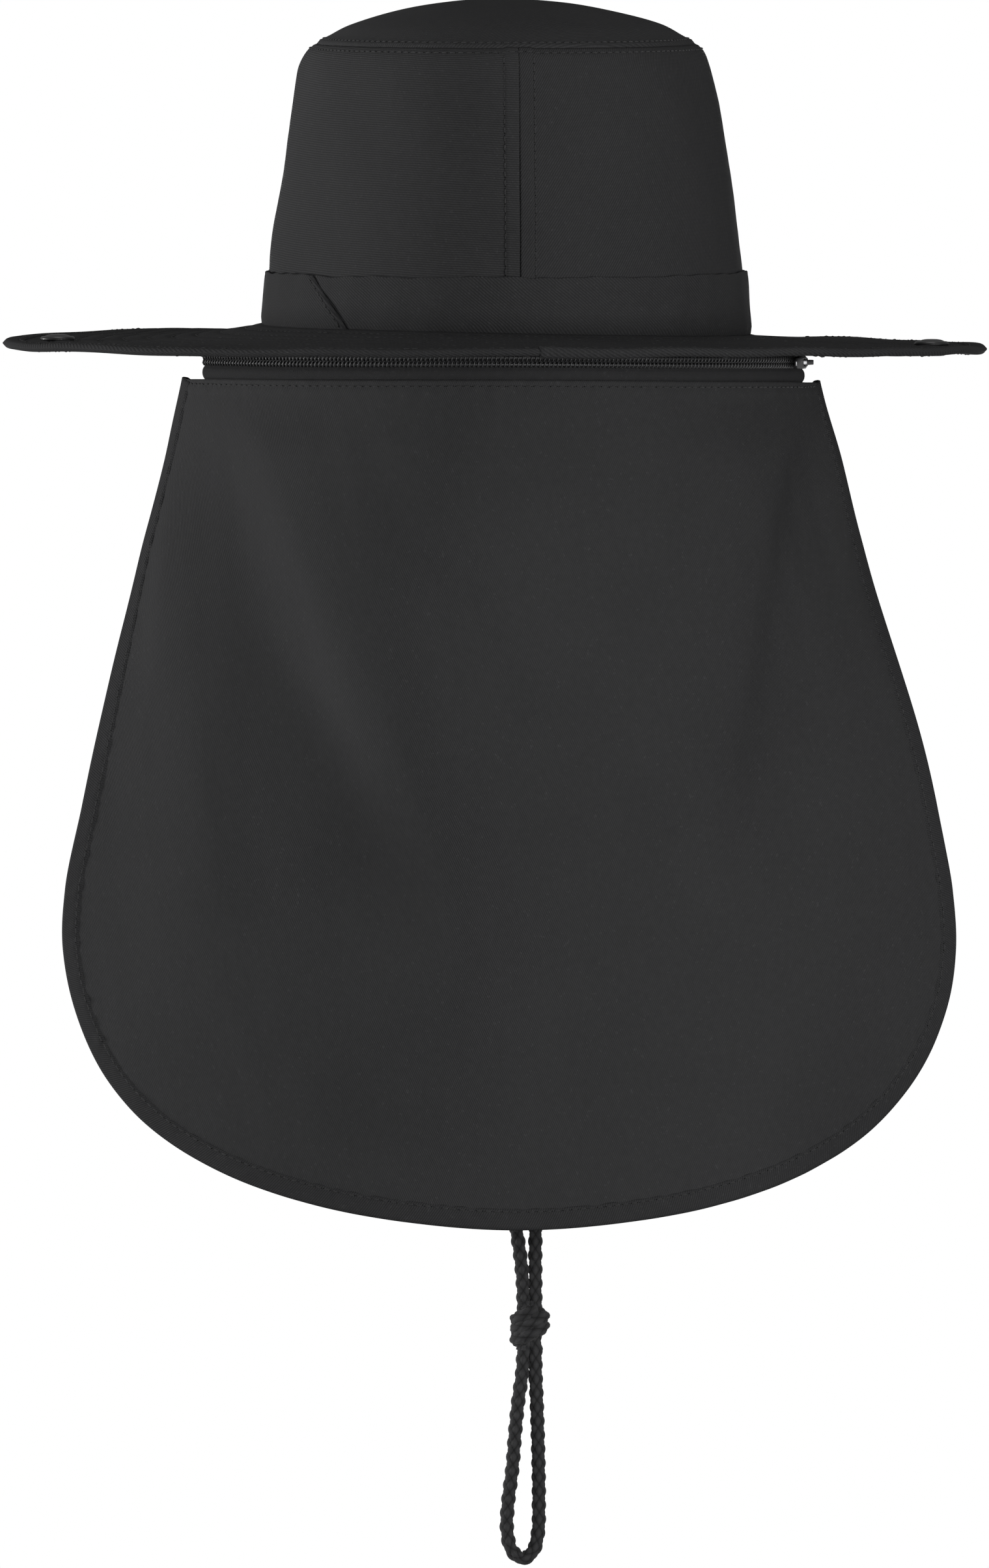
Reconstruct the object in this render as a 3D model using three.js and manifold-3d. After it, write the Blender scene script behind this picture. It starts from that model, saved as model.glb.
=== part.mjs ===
// Bush hat with a zip-on neck flap and a braided chin cord, in millimetres.
// +Z is up and the wearer faces +Y, so the flap hangs at -Y and +X is the wearer's right.
// The origin is the middle of the head opening, level with the crown seam at the back.
import * as THREE from 'three';
import { mergeVertices } from 'three/addons/utils/BufferGeometryUtils.js';
import Module from 'manifold-3d';

const wasm = await Module();
wasm.setup();

const { cos, sin, PI } = Math;
const { clamp, degToRad, lerp, smoothstep } = THREE.MathUtils;

// Clearance between pieces that are sewn or pressed together
const gap = 0.3;
// Sections round the whole oval of the hat
const sectionsRound = 48;

// Crown, measured outside at the seam with the brim
const crownHalfWidth = 88.9;
const ovalExtraLength = 13;
const crownHeight = 104.5;
const crownWall = 1.6;
const tipRise = 13.9;
const seamRoll = 2;
const seamDip = 0.6;

// Hat band
const bandHeight = 20.5;
const bandWall = 1.2;
const bandLapClearance = 0.5;
const bandStart = 203;
const bandRampStart = 535;
const bandRampEnd = 555;
const bandEndTop = 574;
const bandEndBottom = 586.5;

// Brim
const brimHalfWidth = 182.2;
const brimHalfLength = 188;
const brimShift = -4.1;
const brimWall = 2.2;
const brimDroop = 8;
const bindingWidth = 8;
const bindingWall = 3.1;
// Where the binding is thickest, inside its rounded rim, as a share of its width
const bindingCrest = 0.35;
// How thick a binding is at its stitched side and at its rim, as shares of its wall
const bindingHem = 0.8;
const bindingRim = 0.4;
const bindingJoin = 272;
const bindingJoinSwell = 1.5;
const bindingSwellSections = 2;

// Press snaps on the brim
const snapInset = 20.2;
const snapCapRadius = 6.5;
const snapCapHeight = 2.1;
const snapPostRadius = 2.4;
const snapBackRadius = 5.8;
const snapBackHeight = 1.4;

// Zip under the brim
const zipHalfAngle = 64;
// Distance of the zip inside the brim's edge at the back
const zipInset = 51.83;
const tapeWall = 1;
const upperTapeWidth = 10;
const coilHeight = 4.8;
const coilThickness = 2;
const lowerTapeHeight = 4;
const sliderLength = 9;
const sliderThickness = 3.6;
const archSpan = 6.6;
const archRise = 3;
const archThickness = 1.2;
const archWidth = 1.8;
const pullLength = 16;
const pullWidth = 4.4;
const pullThickness = 1;
const pullEyeLength = 3.8;
const pullEyeWidth = 2.5;
const pullRestAngle = -78;

// Neck flap
const flapTopHalfWidth = 117.2;
const flapHalfWidth = 165;
const flapLength = 313;
const flapWall = 1.4;
const flapTopHalfAngle = 72;
const flapLowHalfAngle = 38;
const flapFlattenShare = 0.55;
const flapForwardDrift = 14;
// How far the flap's lower end hangs towards the wearer's right
const flapSway = 2.4;
// Columns and rows of the flap's cloth, and the share of its edge where a side meets the bottom
const flapColumns = 28;
const flapRows = 16;
const flapCorner = 0.27;
const flapBindingWidth = 8.2;
const flapBindingWall = 2.4;
const foldDepth = 7;
// Shares of a fold's run over which it fades in and out at its ends
const foldFadeIn = 0.25;
const foldRunOn = 0.35;
const foldFadeOut = 0.7;
// Shares of flapLength between which folds may begin, below the straight zip
const foldsClear = 0.005;
const foldsFree = 0.09;
// Distance inside the flap's free edge over which folds grow to their full lift
const foldsEdgeReach = 24;

// Chin cord
const cordDiameter = 4;
const cordSides = 8;
const knotRadius = 5.2;
const knotHeight = 13.6;

// Crown wall: height share of crownHeight, half-width share of crownHalfWidth
const crownProfile = [
  { height: 0, width: 1 },
  { height: 0.23, width: 0.98 },
  { height: 0.5, width: 0.938 },
  { height: 0.75, width: 0.8945 },
  { height: 0.877, width: 0.867 },
  { height: 0.923, width: 0.853 },
  { height: 0.969, width: 0.829 },
  { height: 0.992, width: 0.807 },
  { height: 1, width: 0.787 },
];

// Tip of the crown, a low dome: radius share of its rim, rise share of tipRise
const tipProfile = [
  { radius: 1, rise: 0 },
  { radius: 0.95, rise: 0.05 },
  { radius: 0.82, rise: 0.36 },
  { radius: 0.6, rise: 0.665 },
  { radius: 0.34, rise: 0.9 },
  { radius: 0, rise: 1 },
];

// Brim edge, every 45 degrees from the wearer's right: drop share of brimDroop,
// and how soon the brim flattens away from the crown
const brimProfile = [
  { drop: 1.07, flare: 5 },
  { drop: 1.15, flare: 4 },
  { drop: 1, flare: 3 },
  { drop: 0.75, flare: 3 },
  { drop: 0.78, flare: 4 },
  { drop: 0.72, flare: 3 },
  { drop: 0.59, flare: 3 },
  { drop: 0.78, flare: 4 },
];

// Shares of the brim's width at which its cloth has a row of points, closer near the crown
const brimRows = [0, 0.06, 0.16, 0.34, 0.64, 1];

// Flap outline from a top corner to the bottom: down share of flapLength,
// and where the half-width lies between the top's and the widest
const flapOutline = [
  { down: 0, out: 0 },
  { down: 0.1, out: 0.163 },
  { down: 0.18, out: 0.297 },
  { down: 0.26, out: 0.435 },
  { down: 0.5, out: 0.847 },
  { down: 0.6, out: 0.975 },
  { down: 0.67, out: 1 },
];

// Rounded bottom of the flap: down share of flapLength, half-width share of flapHalfWidth
const flapBottom = [
  { down: 0.745, half: 0.977 },
  { down: 0.82, half: 0.915 },
  { down: 0.885, half: 0.808 },
  { down: 0.935, half: 0.655 },
  { down: 0.972, half: 0.45 },
  { down: 0.992, half: 0.23 },
  { down: 1, half: 0 },
];

// Folds of the flap: a line from (fromX, fromDown) to (toX, toDown), in shares of
// flapHalfWidth and flapLength, its spread in the first share and its lift in foldDepth
const flapFolds = [
  { fromX: -0.76, fromDown: 0.1, toX: -0.6, toDown: 0.68, spread: 0.11, lift: 0.8 },
  { fromX: -0.64, fromDown: 0.06, toX: -0.37, toDown: 0.56, spread: 0.12, lift: -1 },
  { fromX: -0.46, fromDown: 0.05, toX: 0.02, toDown: 0.66, spread: 0.14, lift: 0.85 },
  { fromX: -0.27, fromDown: 0.05, toX: -0.02, toDown: 0.44, spread: 0.12, lift: -0.45 },
  { fromX: 0.57, fromDown: 0.05, toX: 0.4, toDown: 0.56, spread: 0.12, lift: 0.55 },
  { fromX: 0.68, fromDown: 0.06, toX: 0.56, toDown: 0.58, spread: 0.1, lift: -0.8 },
];

// Route of each strand of the chin cord, from the seam of the brim down to the knot,
// and of the loop below the knot, chosen by hand
const cordRoutes = {
  left: [
    [-90, -2, -2.4], [-89.6, -2.2, -18], [-87.5, -2.6, -45], [-82, -3, -82], [-73, -3.4, -122],
    [-60.5, -3.8, -164], [-45, -4, -206], [-28.5, -4, -246], [-13.5, -4, -282], [-3.5, -4, -308],
    [1.9, -4, -326], [4.5, -4, -340], [5.9, -4, -352], [6.4, -4, -363.2],
  ],
  right: [
    [89, -2, -6.1], [88.8, -2.2, -20], [87, -2.6, -45], [82.5, -3, -82], [74.5, -3.4, -122],
    [63.5, -3.8, -164], [50.5, -4, -206], [36.5, -4, -246], [23.5, -4, -282], [14.5, -4, -308],
    [11.2, -4, -326], [10.7, -4, -340], [10.7, -4, -352], [10.7, -4, -363.2],
  ],
  loop: [
    [6.4, -4, -377.4], [5.8, -4, -388], [4.4, -4, -398], [3.2, -4, -410], [2.2, -4, -423],
    [1.4, -4, -436], [1.6, -4, -447], [3.4, -4, -454], [6.6, -4, -456.6], [9.8, -4, -454],
    [11.7, -4, -447], [12, -4, -436], [11.9, -4, -423], [11.6, -4, -410], [11.2, -4, -398],
    [10.8, -4, -388], [10.7, -4, -377.4],
  ],
};
const knotCentre = new THREE.Vector3(8.6, -4, -370.3);

const finish = {
  crownCloth: { color: 0x323234, roughness: 0.9, metalness: 0 },
  bandCloth: { color: 0x2e2e30, roughness: 0.9, metalness: 0 },
  tape: { color: 0x2b2b2d, roughness: 0.88, metalness: 0 },
  flapCloth: { color: 0x333335, roughness: 0.92, metalness: 0 },
  zipTape: { color: 0x29292b, roughness: 0.85, metalness: 0 },
  nylon: { color: 0x262628, roughness: 0.5, metalness: 0 },
  metal: { color: 0x3c3c3e, roughness: 0.32, metalness: 0.9 },
  snapPaint: { color: 0x262627, roughness: 0.4, metalness: 0.1 },
  cord: { color: 0x2c2c2e, roughness: 0.85, metalness: 0 },
};

const hat = new THREE.Group();

/** Adds one named piece to the hat. */
function addPiece(name, geometry, look, parent = hat) {
  const mesh = new THREE.Mesh(geometry, new THREE.MeshStandardMaterial(look));
  mesh.name = name;
  parent.add(mesh);
  return mesh;
}

/** Turns a geometry's faces outwards when its signed volume is negative. */
function facedOut(geometry) {
  const points = geometry.attributes.position;
  const index = geometry.index.array;
  const corner = (k) => new THREE.Vector3().fromBufferAttribute(points, index[k]);
  let volume = 0;
  for (let k = 0; k < index.length; k += 3) {
    volume += corner(k).dot(corner(k + 1).cross(corner(k + 2)));
  }
  if (volume < 0) {
    for (let k = 0; k < index.length; k += 3) {
      [index[k + 1], index[k + 2]] = [index[k + 2], index[k + 1]];
    }
  }
  geometry.computeVertexNormals();
  return geometry;
}

/**
 * Joins rings of points into one closed body. Each ring runs along one side of the
 * section and back along the other, so a cap pairs its first half with its second.
 */
function loft(rings, closed) {
  const size = rings[0].length;
  const index = [];
  const spans = closed ? rings.length : rings.length - 1;
  for (let ring = 0; ring < spans; ring += 1) {
    const here = ring * size;
    const next = ((ring + 1) % rings.length) * size;
    for (let k = 0; k < size; k += 1) {
      const after = (k + 1) % size;
      index.push(here + k, next + k, next + after, here + k, next + after, here + after);
    }
  }
  const caps = closed ? [] : [{ base: 0, flip: false }, { base: spans * size, flip: true }];
  for (const { base, flip } of caps) {
    for (let k = 0; k < size / 2 - 1; k += 1) {
      const quad = [base + k, base + k + 1, base + size - 2 - k, base + size - 1 - k];
      if (flip) quad.reverse();
      index.push(quad[0], quad[1], quad[2], quad[0], quad[2], quad[3]);
    }
  }
  const geometry = new THREE.BufferGeometry();
  const numbers = rings.flat().flatMap((point) => [point.x, point.y, point.z]);
  geometry.setAttribute('position', new THREE.Float32BufferAttribute(numbers, 3));
  geometry.setIndex(index);
  return facedOut(geometry);
}

/** Makes a solid for a boolean from a closed geometry. */
function solidOf(geometry) {
  const bare = geometry.clone();
  bare.deleteAttribute('normal');
  bare.deleteAttribute('uv');
  const merged = mergeVertices(bare, 1e-4);
  return new wasm.Manifold(new wasm.Mesh({
    numProp: 3,
    vertProperties: new Float32Array(merged.attributes.position.array),
    triVerts: new Uint32Array(merged.index.array),
  }));
}

/** Makes a geometry from a boolean's solid. */
function geometryOf(solid) {
  const mesh = solid.getMesh();
  const geometry = new THREE.BufferGeometry();
  geometry.setAttribute('position', new THREE.BufferAttribute(mesh.vertProperties, 3));
  geometry.setIndex(new THREE.BufferAttribute(mesh.triVerts, 1));
  geometry.computeVertexNormals();
  return geometry;
}

/** Reads a column of a table at a place between its rows. */
function alongTable(rows, key, column, at) {
  const above = rows.findIndex((row) => row[key] >= at);
  if (above === 0) return rows[0][column];
  if (above < 0) return rows.at(-1)[column];
  const [low, high] = [rows[above - 1], rows[above]];
  return lerp(low[column], high[column], (at - low[key]) / (high[key] - low[key]));
}

/** Reads a column of a table whose rows are spread evenly round the hat, smoothly. */
function roundTable(rows, column, angle) {
  const turns = ((angle / (2 * PI)) % 1 + 1) % 1;
  const place = turns * rows.length;
  const first = Math.floor(place);
  const value = (offset) => rows[(first + offset + rows.length) % rows.length][column];
  const share = place - first;
  const [before, low, high, after] = [value(-1), value(0), value(1), value(2)];
  return low + 0.5 * share * (high - before
    + share * (2 * before - 5 * low + 4 * high - after
    + share * (3 * (low - high) + after - before)));
}

const crownHalfLength = crownHalfWidth + ovalExtraLength;

/** A point on an oval round the hat's axis. */
function ovalPoint(halfWidth, angle, height) {
  return new THREE.Vector3(halfWidth * cos(angle), (halfWidth + ovalExtraLength) * sin(angle), height);
}

/** Height of the seam between crown and brim, which rolls down to the wearer's right. */
function seamHeight(angle) {
  return -seamDip * cos(angle) ** 2 - seamRoll * cos(angle);
}

/** Outer half-width of the crown wall at a height. */
function crownHalfAt(height) {
  return crownHalfWidth * alongTable(crownProfile, 'height', 'width', height / crownHeight);
}

/** One half of the crown wall, between the seams at the back and the front. */
function crownSide(fromAngle) {
  const trim = gap / 2 / crownHalfWidth;
  const spans = sectionsRound / 2;
  const rings = [];
  for (let k = 0; k <= spans; k += 1) {
    const full = fromAngle + (k / spans) * PI;
    const angle = clamp(full, fromAngle + trim, fromAngle + PI - trim);
    const foot = seamHeight(angle) + gap;
    const heights = crownProfile.map((row) => Math.max(row.height * crownHeight, foot));
    const outer = heights.map((height) => ovalPoint(crownHalfAt(height), angle, height));
    const inner = heights.map((height) => ovalPoint(crownHalfAt(height) - crownWall, angle, height));
    rings.push([...outer, ...inner.reverse()]);
  }
  return loft(rings, false);
}

/** The domed oval panel that closes the crown. */
function crownTip() {
  const rim = crownProfile.at(-1).width * crownHalfWidth;
  const top = tipProfile.map((row) => new THREE.Vector2(row.radius * rim, row.rise * tipRise + crownWall));
  const under = tipProfile.map((row) => new THREE.Vector2(row.radius * rim, row.rise * tipRise));
  const geometry = new THREE.LatheGeometry([...under.reverse(), ...top], sectionsRound);
  geometry.rotateX(PI / 2);
  geometry.scale(1, (rim + ovalExtraLength) / rim, 1);
  geometry.translate(0, 0, crownHeight + gap);
  return geometry;
}

/** The cloth band round the foot of the crown, whose slanted end laps over its start. */
function hatBand() {
  const stations = [{ low: bandStart, high: bandStart }];
  const step = 360 / sectionsRound;
  const lastWhole = Math.floor(bandEndTop / step) * step - step;
  for (let angle = Math.ceil(bandStart / step) * step; angle <= lastWhole; angle += step) {
    stations.push({ low: angle, high: angle });
  }
  const slantSteps = 4;
  for (let k = 1; k <= slantSteps; k += 1) {
    const share = k / slantSteps;
    stations.push({ low: lerp(lastWhole, bandEndBottom, share), high: lerp(lastWhole, bandEndTop, share) });
  }
  const lapLift = bandWall + bandLapClearance;
  const rings = stations.map(({ low, high }) => {
    const place = (degrees, share, outwards) => {
      const angle = degToRad(degrees);
      const lift = lapLift * smoothstep(degrees, bandRampStart, bandRampEnd);
      const height = lerp(seamHeight(angle) + gap, bandHeight, share);
      const point = ovalPoint(crownHalfAt(height) + gap + lift + outwards, angle, height);
      return share === 0 ? point.setZ(brimTopside(point.x, point.y) + gap) : point;
    };
    return [
      place(low, 0, bandWall), place(lerp(low, high, 0.5), 0.5, bandWall), place(high, 1, bandWall),
      place(high, 1, 0), place(lerp(low, high, 0.5), 0.5, 0), place(low, 0, 0),
    ];
  });
  return loft(rings, false);
}

/** A point in the middle of the brim's thickness, from its root (0) to its edge (1). */
function brimPoint(angle, share, lift = 0) {
  const root = ovalPoint(crownHalfWidth - crownWall, angle, 0);
  const edgeX = brimShift + brimHalfWidth * cos(angle);
  const edgeY = brimHalfLength * sin(angle);
  const flare = roundTable(brimProfile, 'flare', angle);
  const drop = brimDroop * roundTable(brimProfile, 'drop', angle);
  const rootHeight = seamHeight(angle) - brimWall / 2;
  const height = lerp(rootHeight, -drop, 1 - (1 - share) ** flare);
  return new THREE.Vector3(lerp(root.x, edgeX, share), lerp(root.y, edgeY, share), height + lift);
}

/** How far out of the brim's width a place a given distance inside the edge lies. */
function shareInsideEdge(angle, inset) {
  return 1 - inset / brimPoint(angle, 1).setZ(0).distanceTo(brimPoint(angle, 0).setZ(0));
}

/** Share of the brim's width at a point of the plan, found by halving. */
function brimPlaceAt(x, y) {
  let [low, high] = [0, 1];
  const centreAt = (share) => brimShift * share;
  const inside = (share) => {
    const halfX = lerp(crownHalfWidth - crownWall, brimHalfWidth, share);
    const halfY = lerp(crownHalfLength - crownWall, brimHalfLength, share);
    return ((x - centreAt(share)) / halfX) ** 2 + (y / halfY) ** 2 < 1;
  };
  for (let k = 0; k < 24; k += 1) {
    const middle = (low + high) / 2;
    if (inside(middle)) high = middle;
    else low = middle;
  }
  const halfX = lerp(crownHalfWidth - crownWall, brimHalfWidth, low);
  const halfY = lerp(crownHalfLength - crownWall, brimHalfLength, low);
  return { share: low, angle: Math.atan2(y / halfY, (x - centreAt(low)) / halfX) };
}

/** Height of the brim's underside over a point of the plan. */
function brimUnderside(x, y) {
  const { share, angle } = brimPlaceAt(x, y);
  return brimPoint(angle, share, -brimWall / 2).z;
}

/** Height of the brim's top over a point of the plan. */
function brimTopside(x, y) {
  return brimUnderside(x, y) + brimWall;
}

/** The brim's cloth, an oval ring that droops a little. */
function brimCloth() {
  const rings = [];
  for (let k = 0; k < sectionsRound; k += 1) {
    const angle = (k / sectionsRound) * 2 * PI;
    const last = shareInsideEdge(angle, bindingWidth + gap);
    const top = brimRows.map((row) => brimPoint(angle, row * last, brimWall / 2));
    const under = brimRows.map((row) => brimPoint(angle, row * last, -brimWall / 2));
    rings.push([...top, ...under.reverse()]);
  }
  return loft(rings, true);
}

/** The tape round the brim's edge, which swells where its end laps over at the back. */
function brimBinding() {
  const trim = gap / brimHalfWidth;
  const start = degToRad(bindingJoin) + trim;
  const end = degToRad(bindingJoin) + 2 * PI - trim;
  const rings = [];
  for (let k = 0; k <= sectionsRound; k += 1) {
    const angle = lerp(start, end, k / sectionsRound);
    const swell = 1 + (bindingJoinSwell - 1) * Math.exp(-k / bindingSwellSections);
    const half = (bindingWall / 2) * swell;
    const inner = shareInsideEdge(angle, bindingWidth);
    const crest = shareInsideEdge(angle, bindingWidth * bindingCrest);
    const at = (share, lift) => brimPoint(angle, share, lift * half);
    rings.push([
      at(inner, bindingHem), at(crest, 1), at(1, bindingRim),
      at(1, -bindingRim), at(crest, -1), at(inner, -bindingHem),
    ]);
  }
  return loft(rings, false);
}

/** Where a snap sits on the brim: its place and the brim's tilt there. */
function snapSeat(side) {
  const x = brimShift + side * (brimHalfWidth - snapInset);
  const { share, angle } = brimPlaceAt(x, 0);
  const step = 4 / (brimHalfWidth - crownHalfWidth);
  const inner = brimPoint(angle, share - step);
  const outer = brimPoint(angle, share + step);
  const along = outer.clone().sub(inner).normalize();
  const normal = new THREE.Vector3(-along.z, 0, along.x).multiplyScalar(Math.sign(along.x));
  return { centre: brimPoint(angle, share), normal };
}

/** Turns and moves a geometry made about the Z axis onto a seat. */
function seated(geometry, seat) {
  geometry.rotateX(PI / 2);
  const turn = new THREE.Quaternion().setFromUnitVectors(new THREE.Vector3(0, 0, 1), seat.normal);
  geometry.applyQuaternion(turn);
  geometry.translate(seat.centre.x, seat.centre.y, seat.centre.z);
  return geometry;
}

/** A press snap: domed cap above the brim, post through it and plain back below. */
function snapSolid(seat) {
  const face = brimWall / 2 + gap;
  const profile = [
    [0, -face - snapBackHeight], [snapBackRadius * 0.82, -face - snapBackHeight],
    [snapBackRadius, -face - snapBackHeight * 0.5], [snapBackRadius, -face],
    [snapPostRadius, -face], [snapPostRadius, face], [snapCapRadius, face],
    [snapCapRadius, face + snapCapHeight * 0.35], [snapCapRadius * 0.8, face + snapCapHeight * 0.85],
    [snapCapRadius * 0.4, face + snapCapHeight], [0, face + snapCapHeight],
  ].map(([radius, height]) => new THREE.Vector2(radius, height));
  return seated(new THREE.LatheGeometry(profile, 16), seat);
}

/** The hole that a snap's post passes through. */
function snapHole(seat) {
  return seated(new THREE.CylinderGeometry(snapPostRadius + gap, snapPostRadius + gap, brimWall * 3, 16), seat);
}

const flapTopOval = flapTopHalfWidth / sin(degToRad(flapTopHalfAngle));
const flapBack = brimHalfLength - zipInset;
const flapOvalRatio = flapBack / flapTopOval;

/** A point in plan on the zip's oval, an angle away from the centre of the back. */
function zipPlan(angle, outwards = 0) {
  return new THREE.Vector3(
    brimShift + (flapTopOval + outwards) * sin(angle),
    -(flapBack + outwards) * cos(angle),
    0,
  );
}

/** A strip hung along the zip's oval, given its depths and its inner and outer faces. */
function zipStrip(fromAngle, toAngle, highDepth, lowDepth, inwards, outwards) {
  const spans = 32;
  const rings = [];
  for (let k = 0; k <= spans; k += 1) {
    const angle = lerp(fromAngle, toAngle, k / spans);
    const hang = zipHang(angle);
    const at = (offset, depth) => zipPlan(angle, offset).setZ(hang - depth);
    rings.push([at(outwards, highDepth), at(outwards, lowDepth), at(inwards, lowDepth), at(inwards, highDepth)]);
  }
  return loft(rings, false);
}

/** Height from which the zip hangs, just under the brim. */
function zipHang(angle) {
  const reach = upperTapeWidth / 2;
  const below = [-reach, reach].map((offset) => {
    const { x, y } = zipPlan(angle, offset);
    return brimUnderside(x, y);
  });
  return Math.min(...below) - gap;
}

const coilTop = tapeWall + gap;
const coilFoot = coilTop + coilHeight;
const lowerTapeTop = coilFoot + gap;
const lowerTapeFoot = lowerTapeTop + lowerTapeHeight;
const flapTopDepth = lowerTapeFoot + gap;
const zipEnd = degToRad(zipHalfAngle);
const sliderAngle = zipEnd - (sliderLength / 2) / flapTopOval;
const coilEnd = sliderAngle - (sliderLength / 2 + gap) / flapTopOval;

/** The zip's slider with the arch that holds its pull, outer face towards +X. */
function sliderSolid() {
  const half = { along: sliderLength / 2, up: coilHeight / 2 };
  const outline = new THREE.Shape([
    [-half.along, -half.up * 0.72], [-half.along * 0.55, -half.up], [half.along * 0.5, -half.up],
    [half.along, -half.up * 0.55], [half.along, half.up * 0.55], [half.along * 0.5, half.up],
    [-half.along * 0.55, half.up], [-half.along, half.up * 0.72],
  ].map(([along, up]) => new THREE.Vector2(along, up)));
  const body = new THREE.ExtrudeGeometry(outline, { depth: sliderThickness, bevelEnabled: false, steps: 1 });
  body.translate(0, 0, -sliderThickness / 2);
  const outer = archSpan / 2 + archThickness / 2;
  const inner = archSpan / 2 - archThickness / 2;
  const sunk = 0.6;
  const arch = new THREE.Shape([
    [-outer, -sunk], [-inner, -sunk], [-inner, archRise - archThickness * 1.5],
    [-inner * 0.8, archRise - archThickness], [inner * 0.8, archRise - archThickness],
    [inner, archRise - archThickness * 1.5], [inner, -sunk], [outer, -sunk],
    [outer, archRise * 0.55], [outer * 0.75, archRise], [-outer * 0.75, archRise], [-outer, archRise * 0.55],
  ].map(([along, rise]) => new THREE.Vector2(along, rise)));
  const bridge = new THREE.ExtrudeGeometry(arch, { depth: archWidth, bevelEnabled: false, steps: 1 });
  bridge.translate(0, 0, -archWidth / 2);
  bridge.rotateX(PI / 2);
  bridge.translate(0, 0, sliderThickness / 2);
  const joined = geometryOf(solidOf(body).add(solidOf(bridge)));
  joined.rotateX(PI / 2);
  joined.rotateZ(PI / 2);
  return joined;
}

/** The slider's pull, a flat tab with an eye, lying along +X from its hinge at the origin. */
function pullSolid() {
  const bar = pullThickness / 2;
  const half = pullWidth / 2;
  const outline = new THREE.Shape([
    [-bar, -half * 0.86], [bar, -half], [pullLength - half * 0.6, -half * 0.86], [pullLength, -half * 0.4],
    [pullLength, half * 0.4], [pullLength - half * 0.6, half * 0.86], [bar, half], [-bar, half * 0.86],
  ].map(([along, up]) => new THREE.Vector2(along, up)));
  const eye = new THREE.Path([
    [bar, -pullEyeWidth / 2], [bar, pullEyeWidth / 2],
    [bar + pullEyeLength, pullEyeWidth / 2], [bar + pullEyeLength, -pullEyeWidth / 2],
  ].map(([along, up]) => new THREE.Vector2(along, up)));
  outline.holes.push(eye);
  const tab = new THREE.ExtrudeGeometry(outline, { depth: pullThickness, bevelEnabled: false, steps: 1 });
  tab.translate(0, 0, -pullThickness / 2);
  tab.rotateX(PI / 2);
  return tab;
}

/** Half-width of the flap's outline where it still widens, and the widest below that. */
function flapReach(down) {
  return lerp(flapTopHalfWidth, flapHalfWidth, alongTable(flapOutline, 'down', 'out', down));
}

/** How far round the flap bends to each side at a height. */
function flapBend(down) {
  const share = smoothstep(down, 0, flapFlattenShare);
  return degToRad(lerp(flapTopHalfAngle, flapLowHalfAngle, share));
}

/** Radius of the flap's bend at a height. */
const flapOval = (down) => flapReach(down) / sin(flapBend(down));

/** Outward lift of the flap's folds at a place. */
function foldLift(x, down) {
  const across = (x - brimShift) / flapHalfWidth;
  let lift = 0;
  for (const fold of flapFolds) {
    const run = { x: fold.toX - fold.fromX, down: fold.toDown - fold.fromDown };
    const share = (down - fold.fromDown) / run.down;
    const away = (across - (fold.fromX + share * run.x)) / fold.spread;
    const fadeIn = smoothstep(share, -foldFadeIn, foldFadeIn);
    const fadeOut = smoothstep(1 + foldRunOn - share, 0, foldFadeOut);
    lift += fold.lift * fadeIn * fadeOut * Math.exp(-away * away);
  }
  return foldDepth * lift * smoothstep(down, foldsClear, foldsFree);
}

/** A point of the flap: distance round from the centre of the back, and share down. */
function flapPoint(round, down, lift = 0) {
  const radius = flapOval(down);
  const angle = round / radius;
  const outward = new THREE.Vector3(sin(angle), -cos(angle), 0);
  const sway = flapSway * (1 - clamp(1 - down, 0, 1) ** 2);
  const x = brimShift + sway + radius * sin(angle);
  const back = -flapBack + flapForwardDrift * smoothstep(down, 0, 1);
  const y = back + flapOvalRatio * radius * (1 - cos(angle));
  const top = zipHang(clamp(round / flapTopOval, -zipEnd, zipEnd)) - flapTopDepth;
  const centreTop = zipHang(0) - flapTopDepth;
  const z = lerp(top, centreTop, down) - flapLength * down;
  const inside = radius * flapBend(down) - Math.abs(round);
  const folds = foldLift(x, down) * smoothstep(inside, 0, foldsEdgeReach);
  return new THREE.Vector3(x, y, z).addScaledVector(outward, lift + folds);
}

/** The flap's outline, laid flat: a curve from the left top corner round to the right. */
function flapEdge() {
  const side = flapOutline.map((row) => [flapOval(row.down) * flapBend(row.down), row.down * flapLength]);
  const round = flapBottom.map((row) => {
    const radius = flapOval(row.down);
    return [radius * Math.asin((row.half * flapHalfWidth) / radius), row.down * flapLength];
  });
  const right = [...side, ...round].map(([x, down]) => new THREE.Vector3(x, down, 0));
  const left = right.slice(0, -1).map((point) => new THREE.Vector3(-point.x, point.y, 0));
  return new THREE.CatmullRomCurve3([...left, ...right.reverse()], false, 'centripetal');
}

const edgeCurve = flapEdge();

/** A place on the flap's outline, moved inwards by a distance. */
function edgePlace(share, inset) {
  const point = edgeCurve.getPointAt(share);
  const tangent = edgeCurve.getTangentAt(share);
  return { round: point.x + tangent.y * inset, down: Math.max((point.y - tangent.x * inset) / flapLength, 0) };
}

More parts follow.
